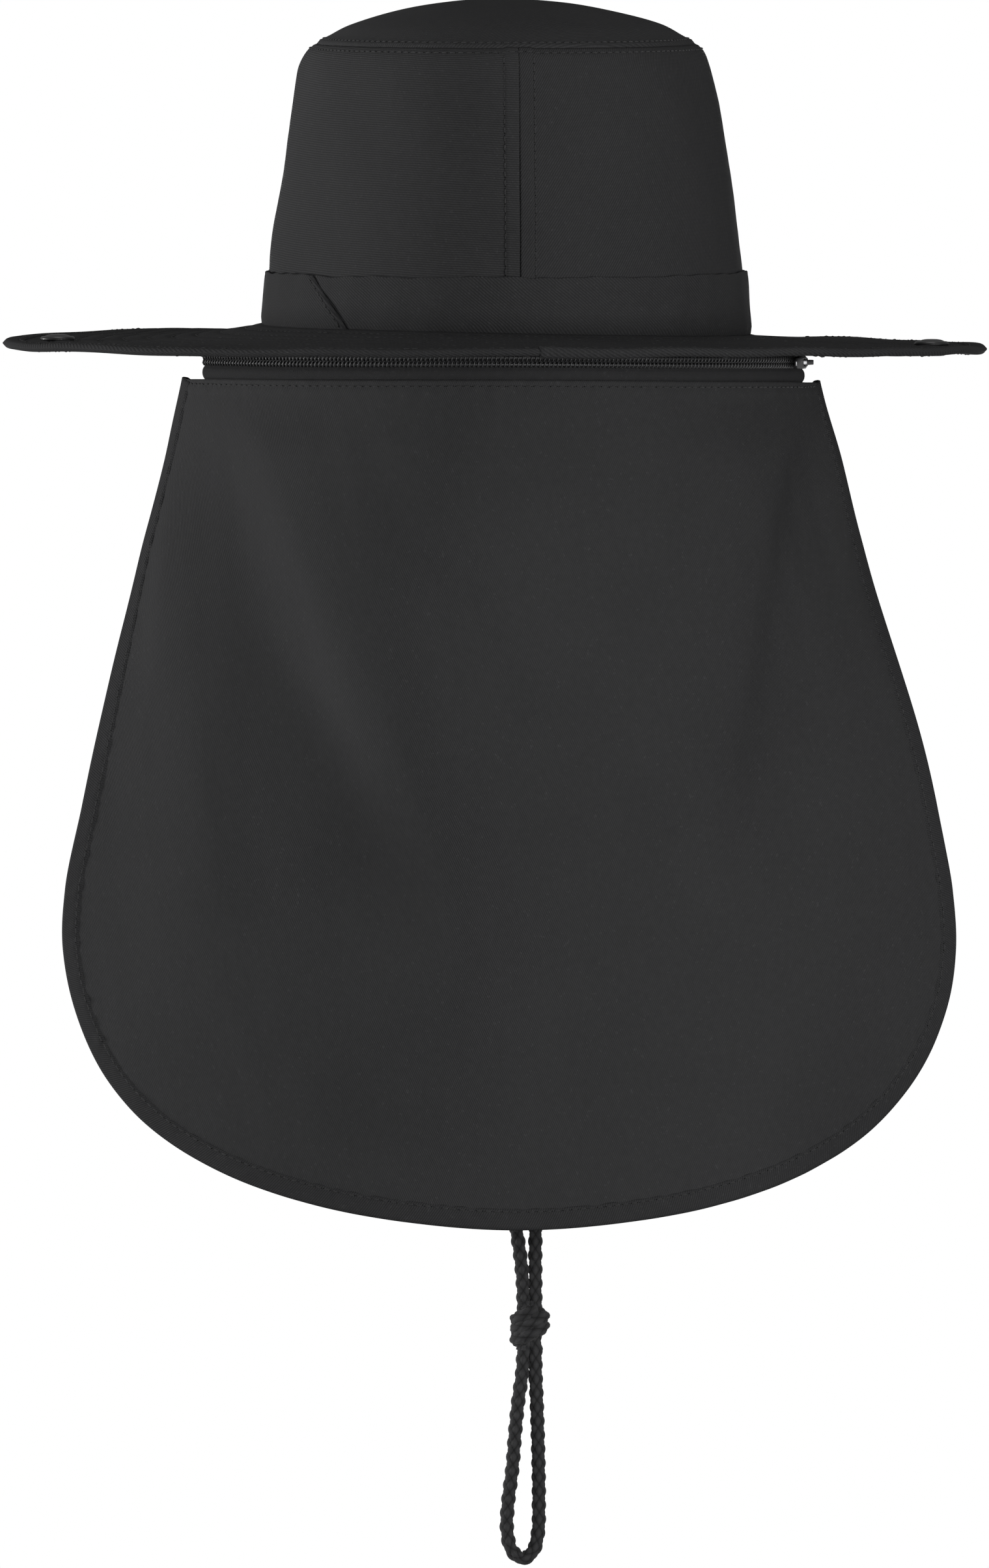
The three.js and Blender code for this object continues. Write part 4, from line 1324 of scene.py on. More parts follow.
    def stitches(self) -> Piece:
        """Topstitch rows beside the seams and round the tip.

        Returns:
            The stitches.
        """
        sewing = Sewing(Thread(), 21)
        form = self.form
        for seam in (-math.pi / 2, math.pi / 2):
            for side in (-1, 1):
                share = np.linspace(*self.sewn_share, 300)
                half = np.interp(share, form.wall_share, form.wall_line[:, 0])
                sewing.row(self.wall, seam + side * self.topstitch / half, share)
        around = np.linspace(0, 2 * math.pi, 1500)
        sewing.row(self.wall, around, np.full_like(around, self.tip_stitch))
        return sewing.piece("crown_stitches")

    def tip_stitches(self) -> Piece:
        """The row on the tip beside its seam.

        Returns:
            The stitches.
        """
        sewing = Sewing(Thread(), 22)
        around = np.linspace(0, 2 * math.pi, 1500)
        sewing.row(self.tip_point, self.tip_row * np.cos(around), self.tip_row * np.sin(around))
        return sewing.piece("crown_tip_stitches")

    def build(self, wardrobe: Wardrobe) -> None:
        """Makes and dresses the crown.

        Args:
            wardrobe: Hands out the finishes.
        """
        wardrobe.dress(self.panel("crown_side_left_cloth", math.pi / 2), Look.CROWN_LEFT,
                       "crown_cloth", "crown_side_left")
        wardrobe.dress(self.panel("crown_side_right_cloth", -math.pi / 2), Look.CROWN_RIGHT,
                       "crown_cloth", "crown_side_right")
        wardrobe.dress(self.tip(), Look.CROWN_TIP, "crown_cloth", "crown_tip")
        wardrobe.dress(self.stitches(), Look.THREAD, "crown_cloth")
        wardrobe.dress(self.tip_stitches(), Look.THREAD, "crown_cloth")


@dataclass
class HatBand:
    """The cloth band round the foot of the crown, whose slanted end laps over its start."""

    form: HatForm
    height: float = 20.5 * MM
    wall: float = 1.2 * MM
    lap_lift: float = 1.3 * MM
    start_degrees: float = 203
    ramp_degrees: tuple = (535, 557)
    end_top_degrees: float = 574
    end_foot_degrees: float = 586.5
    stitch_inset_degrees: float = 1.5
    outer_share: float = 0.66
    fold_share: float = 0.14
    looseness: float = 0.3 * MM
    columns: int = 480
    sides: int = 28

    def __post_init__(self) -> None:
        """Draws the soft waves of the cloth."""
        self.waves = Ripples(31, 14 * MM, 70 * MM)

    def face(self, degrees: Array, share: Array, outwards: Array) -> Array:
        """Points of the band at a height share, a distance out from its inner face.

        Args:
            degrees: Direction round the hat, in degrees.
            share: Height share.
            outwards: Distance out.

        Returns:
            The points.
        """
        form = self.form
        angle = np.radians(degrees)
        lift = self.lap_lift * ease(degrees, *self.ramp_degrees)
        foot = form.seam_height(angle) + form.clearance
        height = mix(foot, self.height, share)
        half = form.crown_half_at(height) + form.clearance + self.looseness + lift + outwards
        plan = form.oval(half, angle, height)
        at, brim_share = form.brim_place(plan[..., 0], plan[..., 1])
        brim_top = form.brim(at, brim_share, form.brim_wall / 2)[..., 2]
        low = mix(brim_top - 0.2 * MM, height, ease(share, 0, 0.12))
        run = angle * form.crown_half_width
        soft = 0.25 * MM * self.waves.at(run, height)
        top = 0.35 * MM * self.waves.at(run * 1.7 + 1, 0 * height) * ease(share, 0.6, 1)
        return form.oval(half + soft, angle, low + top)

    def end_degrees(self, share: Array) -> Array:
        """Where the slanted end lies at a height share."""
        return mix(self.end_foot_degrees, self.end_top_degrees, share)

    def section(self, around: Array) -> Pair:
        """Height share and outward distance round the band's folded section.

        Args:
            around: Share of the way round the section.

        Returns:
            Height share and outward distance.
        """
        outer, fold = self.outer_share, self.fold_share
        up = np.clip(around / outer, 0, 1)
        over = np.clip((around - outer) / fold, 0, 1) * math.pi
        down = np.clip((around - outer - fold) / (1 - outer - fold), 0, 1)
        radius = self.wall / 2
        share = up * (1 - radius / self.height) + np.sin(over) * radius / self.height
        share = np.where(down > 0, (1 - radius / self.height) * (1 - down), share)
        foot = 0.55 * MM * (1 - ease(up, 0, 0.12)) * (down <= 0)
        out = radius + radius * np.cos(over) - foot
        edge = 0.12 * MM * bump_at(share - 0.93, 0.03) * (down <= 0)
        return share, out - edge

    def build(self, wardrobe: Wardrobe) -> None:
        """Makes and dresses the band.

        Args:
            wardrobe: Hands out the finishes.
        """
        mean = self.form.crown_half_width + self.form.oval_extra_length / 2

        def lay(across: Array, around: Array) -> Pair:
            """A point of the band."""
            share, outwards = self.section(np.mod(around, 1))
            degrees = mix(self.start_degrees, self.end_degrees(share), across)
            tuck = 0.5 * MM * ease(across, 0.9988, 1.0) * (outwards > 0.2 * MM)
            flat = flat_of(np.radians(degrees) * mean, share * self.height + outwards)
            return self.face(degrees, share, outwards - tuck), flat

        piece = cloth_grid("hat_band_cloth", self.columns, self.sides, lay, closed=True)
        wardrobe.dress(piece, Look.BAND, "band_cloth", "hat_band")
        sewing = Sewing(Thread(), 32)
        share = np.linspace(0.06, 0.94, 60)

        def outer(degrees: Array, height: Array) -> Array:
            """A point of the band's outer face."""
            return self.face(degrees, height, np.full_like(degrees, self.wall))

        sewing.row(outer, self.end_degrees(share) - self.stitch_inset_degrees, share)
        wardrobe.dress(sewing.piece("hat_band_stitches"), Look.THREAD, "band_cloth")


@dataclass
class Brim:
    """The brim: quilted cloth with rows of stitches, and the tape folded round its edge."""

    form: HatForm
    rows: int = 10
    quilted_share: float = 0.918
    puff: float = 0.34 * MM
    groove: float = 0.38 * MM
    cloth_share: float = 0.965
    columns: int = 380
    steps_a_row: int = 6
    tape_join_degrees: float = 272
    tape_swell: float = 0.5
    tape_swell_fade: float = math.radians(15)
    tape_half: float = 1.55 * MM
    tape_outer_share: float = 0.86
    tape_columns: int = 640
    tape_sides: int = 30
    tape_stitch: float = 6.5 * MM
    tape_dent: float = 0.22 * MM
    tape_pucker: float = 0.16 * MM

    def __post_init__(self) -> None:
        """Draws the soft waves of the cloth."""
        self.waves = Ripples(41, 45 * MM, 160 * MM)
        self.puckers = Ripples(42, 4 * MM, 11 * MM)
        self.tape_puckers = Ripples(43, 3.4 * MM, 9 * MM)

    def wave(self, angle: Array, share: Array) -> Array:
        """Slow rise and fall of the whole brim, cloth and tape alike.

        Args:
            angle: Direction round the hat.
            share: Share of the way out.

        Returns:
            The heights.
        """
        place = self.form.brim(angle, share)
        loose = ease(share, 0.25, 0.9)
        return 0.55 * MM * self.waves.at(place[..., 0], place[..., 1]) * loose

    def cloth(self, angle: Array, share: Array, side: float) -> Array:
        """Points of the brim's face, above (side 1) or below (side -1).

        Args:
            angle: Direction round the hat.
            share: Share of the way out.
            side: 1 above, -1 below.

        Returns:
            The points.
        """
        place = self.form.brim(angle, share)
        step = share / self.quilted_share * self.rows
        away = np.abs(step - np.rint(step)) / self.rows * self.form.brim_width(angle)
        relief = self.puff * ease(away, 0, 3.4 * MM) - self.groove * bump_at(away, 0.7 * MM)
        relief = relief + 0.13 * MM * self.puckers.at(place[..., 0], place[..., 1]) * bump_at(away, 2.5 * MM)
        relief = relief * (1 - ease(share, 0.93, 0.955)) * ease(share, 0.0, 0.03)
        half = self.form.brim_wall / 2 * (1 - 0.45 * ease(share, 0.93, 0.975))
        return self.form.brim(angle, share, side * (half + relief) + self.wave(angle, share))

    def cloth_piece(self) -> Piece:
        """Both faces of the brim, closed at the root and inside the tape.

        Returns:
            The cloth.
        """
        half_sides = self.rows * self.steps_a_row + 6

        def lay(across: Array, around: Array) -> Pair:
            """A point of the cloth, out over the top and back below."""
            turn = np.mod(around, 1) * 2
            share = np.where(turn < 1, turn, 2 - turn) * self.cloth_share
            place = self.cloth(np.mod(across, 1) * 2 * math.pi, share, np.where(turn < 1, 1.0, -1.0))
            return place, self.form.brim(across * 2 * math.pi, share)[..., :2]

        return cloth_grid("brim_cloth", self.columns, 2 * half_sides, lay, closed=True)

    def tape_section(self, around: Array) -> Pair:
        """Inset from the edge and height share round the folded tape.

        Args:
            around: Share of the way round the section.

        Returns:
            Inset and height share at each place.
        """
        turn = np.mod(around, 1)
        outer = self.tape_outer_share
        along = np.clip(turn / outer, 0, 1) * 2 - 1
        reach = self.form.binding_width
        crest = 0.82 + 0.18 * np.cos(np.clip(np.abs(along) - 0.35, 0, 1) * 2)
        inset = reach * np.abs(along) ** 1.35
        height = -np.sign(along) * crest * np.clip(1 - (1 - np.abs(along)) ** 6, 0, 1)
        nose = np.clip(np.abs(along) / 0.3, 0, 1)
        height = height * np.sin(nose * math.pi / 2)
        back = np.clip((turn - outer) / (1 - outer), 0, 1)
        end = 0.82 + 0.18 * math.cos(0.65 * 2)
        inset = np.where(back > 0, reach, inset)
        height = np.where(back > 0, mix(-end, end, back), height)
        return inset, height

    def tape(self, angle: Array, inset: Array, height: Array) -> Array:
        """Points of the tape round the edge, which is thicker where its end laps over.

        Args:
            angle: Direction round the hat.
            inset: Distance in from the edge.
            height: Height share.

        Returns:
            The points.
        """
        form = self.form
        from_join = np.mod(angle - math.radians(self.tape_join_degrees), 2 * math.pi)
        swell = 1 + self.tape_swell * np.exp(-from_join / self.tape_swell_fade)
        share = 1 - inset / form.brim_width(angle)
        run = angle * form.brim_half_width
        held = bump_at(inset - self.tape_stitch, 1.6 * MM)
        relief = -self.tape_dent * bump_at(inset - self.tape_stitch, 0.6 * MM)
        relief = relief + self.tape_pucker * self.tape_puckers.at(run, inset) * held
        lift = height * self.tape_half * swell + np.sign(height) * relief * (np.abs(height) > 0.3)
        return form.brim(angle, share, lift + self.wave(angle, share))

    def tape_piece(self) -> Piece:
        """The tape folded round the edge, once round the brim from its join.

        Returns:
            The tape.
        """
        start = math.radians(self.tape_join_degrees)
        span = 2 * math.pi - SMALLEST

        def lay(across: Array, around: Array) -> Pair:
            """A point of the tape."""
            inset, height = self.tape_section(around)
            angle = start + across * span
            side = np.where(height >= 0, 1.0, -1.0)
            return self.tape(angle, inset, height), flat_of(angle * self.form.brim_half_width, side * inset)

        return cloth_grid("brim_binding_tape", self.tape_columns, self.tape_sides, lay, closed=True)

    def build(self, wardrobe: Wardrobe) -> None:
        """Makes and dresses the brim, its tape and their stitches.

        Args:
            wardrobe: Hands out the finishes.
        """
        wardrobe.dress(self.cloth_piece(), Look.BRIM, "brim_cloth", "brim")
        wardrobe.dress(self.tape_piece(), Look.BINDING, "binding_tape", "brim_binding")
        around = np.linspace(0, 2 * math.pi, 1600)
        for side, label in ((1.0, "upper"), (-1.0, "under")):
            sewing = Sewing(Thread(), 44 if side > 0 else 45)

            def face(angle: Array, share: Array, side: float = side) -> Array:
                """A point of one face of the cloth."""
                return self.cloth(angle, share, side)

            for row in range(1, self.rows):
                share = np.full_like(around, row / self.rows * self.quilted_share)
                sewing.row(face, around, share, -side)
            wardrobe.dress(sewing.piece(f"brim_stitches_{label}"), Look.THREAD, "brim_cloth")
            tape_sewing = Sewing(Thread(), 46 if side > 0 else 47)
            level = np.interp(self.tape_stitch, [0, self.form.binding_width], [1.0, 0.87]) * side

            def tape_face(angle: Array, inset: Array, level: float = level) -> Array:
                """A point of one face of the tape."""
                return self.tape(angle, inset, np.full_like(angle, level))

            tape_sewing.row(tape_face, around, np.full_like(around, self.tape_stitch), side)
            wardrobe.dress(tape_sewing.piece(f"brim_binding_stitches_{label}"), Look.THREAD, "binding_tape")


@dataclass
class Snaps:
    """The press snaps that can hold the brim up at the sides."""

    form: HatForm
    inset: float = 20.2 * MM
    cap_radius: float = 6.5 * MM
    cap_height: float = 2.1 * MM
    back_radius: float = 5.8 * MM
    back_height: float = 1.4 * MM
    sides: int = 56

    def seat(self, side: float) -> Matrix:
        """Place and tilt of a snap in the middle of the brim's thickness.

        Args:
            side: 1 for the right, -1 for the left.

        Returns:
            The seat.
        """
        form = self.form
        x = np.array([form.brim_shift + side * (form.brim_half_width - self.inset)])
        angle, share = form.brim_place(x, np.zeros(1))
        step = 4 * MM / (form.brim_half_width - form.crown_half_width)
        inner, outer = (form.brim(angle, share + k * step)[0] for k in (-1, 1))
        along = Vector(outer - inner).normalized()
        normal = Vector((-along.z, 0, along.x)) * math.copysign(1, along.x)
        centre = Vector(form.brim(angle, share)[0])
        tilt = Vector((0, 0, 1)).rotation_difference(normal)
        return Matrix.Translation(centre) @ tilt.to_matrix().to_4x4()

    def build(self, wardrobe: Wardrobe) -> None:
        """Makes and dresses both snaps.

        Args:
            wardrobe: Hands out the finishes.
        """
        face = self.form.brim_wall / 2 + self.form.clearance
        low, high = -face - self.back_height, face + self.cap_height
        cap, back = self.cap_radius, self.back_radius
        profile = (
            (0, low + 0.5 * MM), (back * 0.28, low + 0.5 * MM), (back * 0.36, low + 0.3 * MM),
            (back * 0.42, low), (back * 0.74, low), (back * 0.92, low + 0.25 * MM),
            (back, -face - 0.45 * MM), (back * 0.98, -face + 0.35 * MM), (2.4 * MM, -face + 0.35 * MM),
            (2.4 * MM, face - 0.35 * MM), (cap * 0.97, face - 0.35 * MM), (cap, face + 0.25 * MM),
            (cap * 0.985, face + 0.7 * MM), (cap * 0.93, face + 1.15 * MM), (cap * 0.86, face + 1.3 * MM),
            (cap * 0.8, face + 1.2 * MM), (cap * 0.75, face + 1.25 * MM), (cap * 0.62, face + 1.75 * MM),
            (cap * 0.4, high - 0.05 * MM), (cap * 0.2, high), (0, high),
        )
        for side, name in ((-1, "snap_left"), (1, "snap_right")):
            piece = spun(name + "_cap", profile, self.seat(side), self.sides)
            rounding = piece.modifiers.new("round", "SUBSURF")
            rounding.levels = 1
            rounding.render_levels = 1
            wardrobe.dress(piece, Look.SNAP_ENAMEL, "snap_enamel", name)


@dataclass
class Zip:
    """The zip under the brim: two woven tapes, two rows of nylon coil, slider and pull."""

    form: HatForm
    tape_wall: float = 0.7 * MM
    tape_columns: int = 300
    tape_sides: int = 36
    leaf_back: float = 1.15 * MM
    coil_top: float = 1.3 * MM
    coil_height: float = 4.8 * MM
    lower_foot: float = 10.4 * MM
    tuck: float = 5 * MM
    wire: float = 0.34 * MM
    pitch: float = 1.7 * MM
    turn_steps: int = 14
    wire_stretch: float = 1.05
    row_offset: float = 1.02 * MM
    loop_half_height: float = 1.08 * MM
    loop_half_depth: float = 0.66 * MM
    loop_flatness: float = 0.22
    coil_out: float = 0.1 * MM
    core_offset: float = 1.25 * MM
    core_stoutness: float = 1.5
    slider_length: float = 9 * MM

    def path(self, angle: Array, outwards: Array, depth: Array) -> Array:
        """Points of the zip at an angle from the centre of the back, at a depth below the brim."""
        return self.form.zip_plan(angle, outwards, self.form.zip_hang(angle) - depth)

    def strip(self, name: str, section: Sequence[tuple[float, float]]) -> Piece:
        """A woven tape along the zip, given the outward place and depth of its middle line.

        Args:
            name: Name of the piece.
            section: Outward place and depth of the middle line.

        Returns:
            The tape.
        """
        line = smooth_line(section, 60)
        across_line = np.gradient(line, axis=0)
        across_line = unit(np.stack([-across_line[:, 1], across_line[:, 0]], axis=-1))
        length = run_length(line)
        index = np.arange(len(line))
        reach = self.form.zip_half_angle

        def lay(along: Array, around: Array) -> Pair:
            """A point of the tape."""
            turn = np.mod(around, 1) * 2
            share = np.where(turn < 1, turn, 2 - turn) * (len(line) - 1)
            side = np.where(turn < 1, 1.0, -1.0) * self.tape_wall / 2
            side = side * np.clip(np.minimum(share, len(line) - 1 - share) / 2 + 0.15, 0, 1)
            outwards, depth = (np.interp(share, index, line[:, k])
                               + np.interp(share, index, across_line[:, k]) * side for k in (0, 1))
            flat = flat_of(mix(-1, 1, along) * reach * self.form.zip_oval, np.interp(share, index, length))
            return self.path(mix(-reach, reach, along), outwards, depth), flat

        return cloth_grid(name, self.tape_columns, self.tape_sides, lay, closed=True)

    def coil(self) -> Piece:
        """Two rows of nylon wire wound in flat loops that hold each other.

        Returns:
            The coil.
        """
        form = self.form
        start = -form.zip_half_angle
        end = form.zip_half_angle - (self.slider_length + 0.6 * MM) / form.zip_oval
        turns = int((end - start) * form.zip_oval * self.wire_stretch / self.pitch)
        turn = np.linspace(0, turns, turns * self.turn_steps + 1)
        pieces = []
        middle = self.coil_top + self.coil_height / 2
        for row in (-1, 1):
            phase = turn * 2 * math.pi + (math.pi if row > 0 else 0)
            flattened = turn + self.loop_flatness * np.sin(phase * 2) / (2 * math.pi)
            depth = middle + row * (self.row_offset + self.loop_half_height * np.cos(phase))
            outwards = self.coil_out + self.loop_half_depth * np.sin(phase) * row
            pieces.append(self.wire_tube(self.path(mix(start, end, flattened / turns), outwards, depth), 6))
        core = np.linspace(start, end, 260)
        for row in (-1, 1):
            depth = np.full_like(core, middle + row * self.core_offset)
            core_line = self.path(core, np.full_like(core, self.coil_out), depth)
            pieces.append(self.wire_tube(core_line, 8, self.core_stoutness))
        bm = bmesh.new()
        for piece in pieces:
            bm.from_mesh(piece.data)
            bpy.data.objects.remove(piece)
        return finish_bmesh("zip_coil_wound", bm)

    def wire_tube(self, line: Array, sides: int, stout: float = 1.0) -> Piece:
        """A plain round wire along a line.

        Args:
            line: Points of the wire's middle.
            sides: Faces round it.
            stout: Share of the wire's radius.

        Returns:
            The wire.
        """
        tangents = unit(np.gradient(line, axis=0))
        side = unit(np.cross(tangents, unit(line * (1, 1, 0) + (0, 0, 1e-4))))
        third = np.cross(tangents, side)
        radius = self.wire * stout

        def lay(along: Array, around: Array) -> Pair:
            """A point of the wire."""
            row = np.rint(along * (len(line) - 1)).astype(int)
            angle = np.mod(around, 1) * 2 * math.pi
            place = (line[row] + side[row] * (radius * np.cos(angle))[:, None]
                     + third[row] * (radius * np.sin(angle))[:, None])
            return place, flat_of(along * len(line) * 0.2 * MM, around * MM)

        return cloth_grid("wire", len(line) - 1, sides, lay, closed=True)

    def build(self, wardrobe: Wardrobe) -> None:
        """Makes and dresses the zip.

        Args:
            wardrobe: Hands out the finishes.
        """
        middle = self.coil_top + self.coil_height / 2
        reach = self.form.upper_tape_width / 2
        wall = self.tape_wall / 2
        behind = -self.leaf_back
        upper = ((-reach, wall), (-3 * MM, wall), (behind - 0.5 * MM, wall + 0.25 * MM),
                 (behind, wall + 1.1 * MM), (behind, middle - 0.2 * MM))
        flat = ((-reach, wall), (0, wall), (reach, wall))
        lower = ((behind, middle + 0.2 * MM), (behind, 5.2 * MM), (behind + 0.4 * MM, 6.4 * MM),
                 (0, 7.4 * MM), (0.1 * MM, 9.4 * MM), (-0.5 * MM, 10.6 * MM),
                 (-1.4 * MM, 11.8 * MM), (-1.5 * MM, self.lower_foot + self.tuck))
        wardrobe.dress(self.strip("zip_tape_upper_woven", flat), Look.ZIP_TAPE, "zip_tape", "zip_tape_upper")
        wardrobe.dress(self.strip("zip_tape_upper_leaf", upper), Look.ZIP_TAPE, "zip_tape")
        wardrobe.dress(self.strip("zip_tape_lower_woven", lower), Look.ZIP_TAPE, "zip_tape", "zip_tape_lower")
        wardrobe.dress(self.coil(), Look.ZIP_NYLON, "zip_nylon", "zip_coil")
        slider = bevelled_copy("zip_slider_cast", "zip_slider", 0.4 * MM)
        wardrobe.dress(slider, Look.ZIP_METAL, "zip_metal", "zip_slider")
        pull = bevelled_copy("zip_pull_tab", "zip_pull", 0.3 * MM)
        wardrobe.dress(pull, Look.ZIP_METAL, "zip_metal", "zip_pull", body=PULL_BODY)


@dataclass
class NeckFlap:
    """The neck flap: one cloth hung from the zip, bound with tape round its free edge."""

    form: HatForm
    top_half_width: float = 117.2 * MM
    half_width: float = 165 * MM
    length: float = 313 * MM
    wall: float = 1.4 * MM
    top_bend: float = 72
    low_bend: float = 38
    flatten_share: float = 0.55
    forward_drift: float = 14 * MM
    sway: float = 2.4 * MM
    top_depth: float = 10.7 * MM
    tape_width: float = 8.2 * MM
    tape_half: float = 1.2 * MM
    tape_stitch: float = 6.9 * MM
    fold_depth: float = 7 * MM
    fold_edge_reach: float = 24 * MM
    fold_widening: float = 0.6
    wave_height: float = 0.7 * MM
    corner_share: float = 0.27
    columns: int = 176
    rows: int = 190
    row_crowding: float = 0.35
    top_stitch: float = 2.2 * MM
    tape_outer_share: float = 0.88
    tape_columns: int = 760
    tape_sides: int = 30
    # Down share, and where the half-width lies between the top's and the widest
    outline: tuple = (
        (0, 0), (0.1, 0.163), (0.18, 0.297), (0.26, 0.435), (0.5, 0.847), (0.6, 0.975), (0.67, 1),
    )
    # Down share and half-width share of the rounded bottom
    bottom: tuple = (
        (0.745, 0.977), (0.82, 0.915), (0.885, 0.808), (0.935, 0.655), (0.972, 0.45), (0.992, 0.23), (1, 0),
    )
    # From across and down, to across and down, spread to each side and lift of each fold, in shares
    folds: tuple = (
        (-0.76, 0.1, -0.62, 0.7, 0.1, 0.12, 0.7),
        (-0.66, 0.055, -0.38, 0.56, 0.13, 0.12, -0.65),
        (-0.533, 0.05, -0.065, 0.66, 0.11, 0.34, 1.4),
        (-0.35, 0.06, 0.0, 0.42, 0.24, 0.08, -0.25),
        (0.6, 0.05, 0.44, 0.52, 0.2, 0.07, 0.6),
        (0.69, 0.05, 0.54, 0.52, 0.07, 0.14, -0.7),
    )

    def __post_init__(self) -> None:
        """Works out the outline and draws the soft waves."""
        self.outline_down = np.array([row[0] for row in self.outline])
        self.outline_out = np.array([row[1] for row in self.outline])
        side = [(self.radius(row[0]) * self.bend(row[0]), row[0] * self.length) for row in self.outline]
        low = []
        for down, half in self.bottom:
            radius = self.radius(down)
            low.append((radius * math.asin(half * self.half_width / radius), down * self.length))
        right = [(float(x), float(y)) for x, y in side + low]
        left = [(-x, y) for x, y in right[:-1]]
        self.edge = smooth_line(left + right[::-1], 2400)
        self.edge_share = np.linspace(0, 1, len(self.edge))
        self.edge_turn = unit(np.gradient(self.edge, axis=0))
        self.edge_length = float(run_length(self.edge)[-1])
        self.waves = Ripples(51, 60 * MM, 200 * MM)
        self.creases = Ripples(52, 16 * MM, 42 * MM)
        self.puckers = Ripples(53, 4 * MM, 12 * MM)

    def radius(self, down: Array) -> Array:
        """Radius of the flap's bend at a share down."""
        out = np.interp(down, self.outline_down, self.outline_out)
        return mix(self.top_half_width, self.half_width, out) / np.sin(self.bend(down))

    def bend(self, down: Array) -> Array:
        """How far round the flap bends to each side, in radians."""
        return np.radians(mix(self.top_bend, self.low_bend, ease(down, 0, self.flatten_share)))

    def fold_lift(self, x: Array, down: Array) -> Array:
        """Outward lift of the folds.

        Args:
            x: Place across.
            down: Share down from the zip.

        Returns:
            The lift.
        """
        across = (x - self.form.brim_shift) / self.half_width
        lift = np.zeros_like(across)
        for from_x, from_down, to_x, to_down, left, right, height in self.folds:
            share = (down - from_down) / (to_down - from_down)
            wide = 1 + self.fold_widening * np.clip(share, 0, 1)
            away = across - (from_x + share * (to_x - from_x))
            away = away / (np.where(away < 0, left, right) * wide)
            fade = ease(share, -0.25, 0.25) * ease(1.35 - share, 0, 0.7)
            lift = lift + height * wide * fade * np.exp(-away * away)
        return self.fold_depth * lift * ease(down, 0.005, 0.09)

    def surface(self, around: Array, down: Array, lift: Array = 0.0) -> Array:
        """Points in the middle of the flap's cloth.

        Args:
            around: Distance round from the centre of the back.
            down: Share down from the zip.
            lift: Distance out from the middle of the cloth.

        Returns:
            The points.
        """
        radius = self.radius(down)
        angle = around / radius
        sway = self.sway * (1 - np.clip(1 - down, 0, 1) ** 2)
        x = self.form.brim_shift + sway + radius * np.sin(angle)
        back = -self.form.zip_back + self.forward_drift * ease(down, 0, 1)
        y = back + self.form.zip_oval_ratio * radius * (1 - np.cos(angle))
        end = self.form.zip_half_angle
        top = self.form.zip_hang(np.clip(around / self.form.zip_oval, -end, end)) - self.top_depth
        centre = self.form.zip_hang(np.zeros(1))[0] - self.top_depth
        z = mix(top, centre, down) - self.length * down
        soft = self.wave_height * self.waves.at(around, down * self.length)
        soft = soft + 0.16 * MM * self.creases.at(around * 1.4, down * self.length * 0.5)
        inside = radius * self.bend(down) - np.abs(around)
        folds = self.fold_lift(x, down) * ease(inside, 0, self.fold_edge_reach)
        out = lift + folds + soft * ease(down, 0.01, 0.1)
        return points_of(x + np.sin(angle) * out, y - np.cos(angle) * out, z)

    def edge_place(self, share: Array, inset: Array) -> Pair:
        """Distance round and share down of a place inside the outline.

        Args:
            share: Share of the way along the edge.
            inset: Distance in from it.

        Returns:
            The places.
        """
        x, y = (np.interp(share, self.edge_share, self.edge[:, k]) for k in (0, 1))
        turn_x, turn_y = (np.interp(share, self.edge_share, self.edge_turn[:, k]) for k in (0, 1))
        return x + turn_y * inset, np.maximum((y - turn_x * inset) / self.length, 0)

    def patch(self, across: Array, share: Array, inset: float) -> Pair:
        """Distance round and share down inside the outline, a patch between its four sides.

        Args:
            across: Share across.
            share: Share down.
            inset: Distance in from the outline.

        Returns:
            The places.
        """
        corner = self.corner_share
        side_round, side_down = self.edge_place(share * corner, inset)
        foot_round, foot_down = self.edge_place(mix(corner, 1 - corner, across), inset)
        top_round, top_down = self.edge_place(np.zeros(1), inset)
        low_round, low_down = self.edge_place(np.full(1, corner), inset)
        sign = mix(1.0, -1.0, across)
        around = mix(top_round * sign, foot_round, share)
        around = around + sign * (side_round - mix(top_round, low_round, share))
        down = mix(top_down * (2 * across - 1) ** 8, foot_down, share)
        return around, down + side_down - mix(top_down, low_down, share)

    def cloth(self, around: Array, down: Array, side: float = 1.0) -> Array:
        """Points of the flap's outer face with its top fold and stitch line.

        Args:
            around: Distance round.
            down: Share down.
            side: 1 for the outer face.

        Returns:
            The points.
        """
        deep = down * self.length
        fold = 0.3 * MM * (1 - ease(deep, 4.5 * MM, 6 * MM))
        seam = -0.3 * MM * bump_at(deep - self.top_stitch, 0.6 * MM)
        pucker = 0.2 * MM * self.puckers.at(around, deep * 0.3) * bump_at(deep - 3 * MM, 5 * MM)
        return self.surface(around, down, side * (self.wall / 2 + fold + seam) + pucker)

    def cloth_piece(self) -> Piece:
        """The flap's cloth, which runs a little way into its tape.

        Returns:
            The cloth.
        """
        inset = self.tape_width * 0.5

        def lay(across: Array, along: Array) -> Pair:
            """A point of the cloth, with closer rows at the top."""
            around, down = self.patch(across, mix(along, along ** 2, self.row_crowding), inset)
            return self.cloth(around, down), flat_of(around, -down * self.length)

        piece = cloth_grid("neck_flap_cloth", self.columns, self.rows, lay,
                           away_from=Vector((0, 0.1, -0.15)))
        give_wall(piece, self.wall)
        return piece

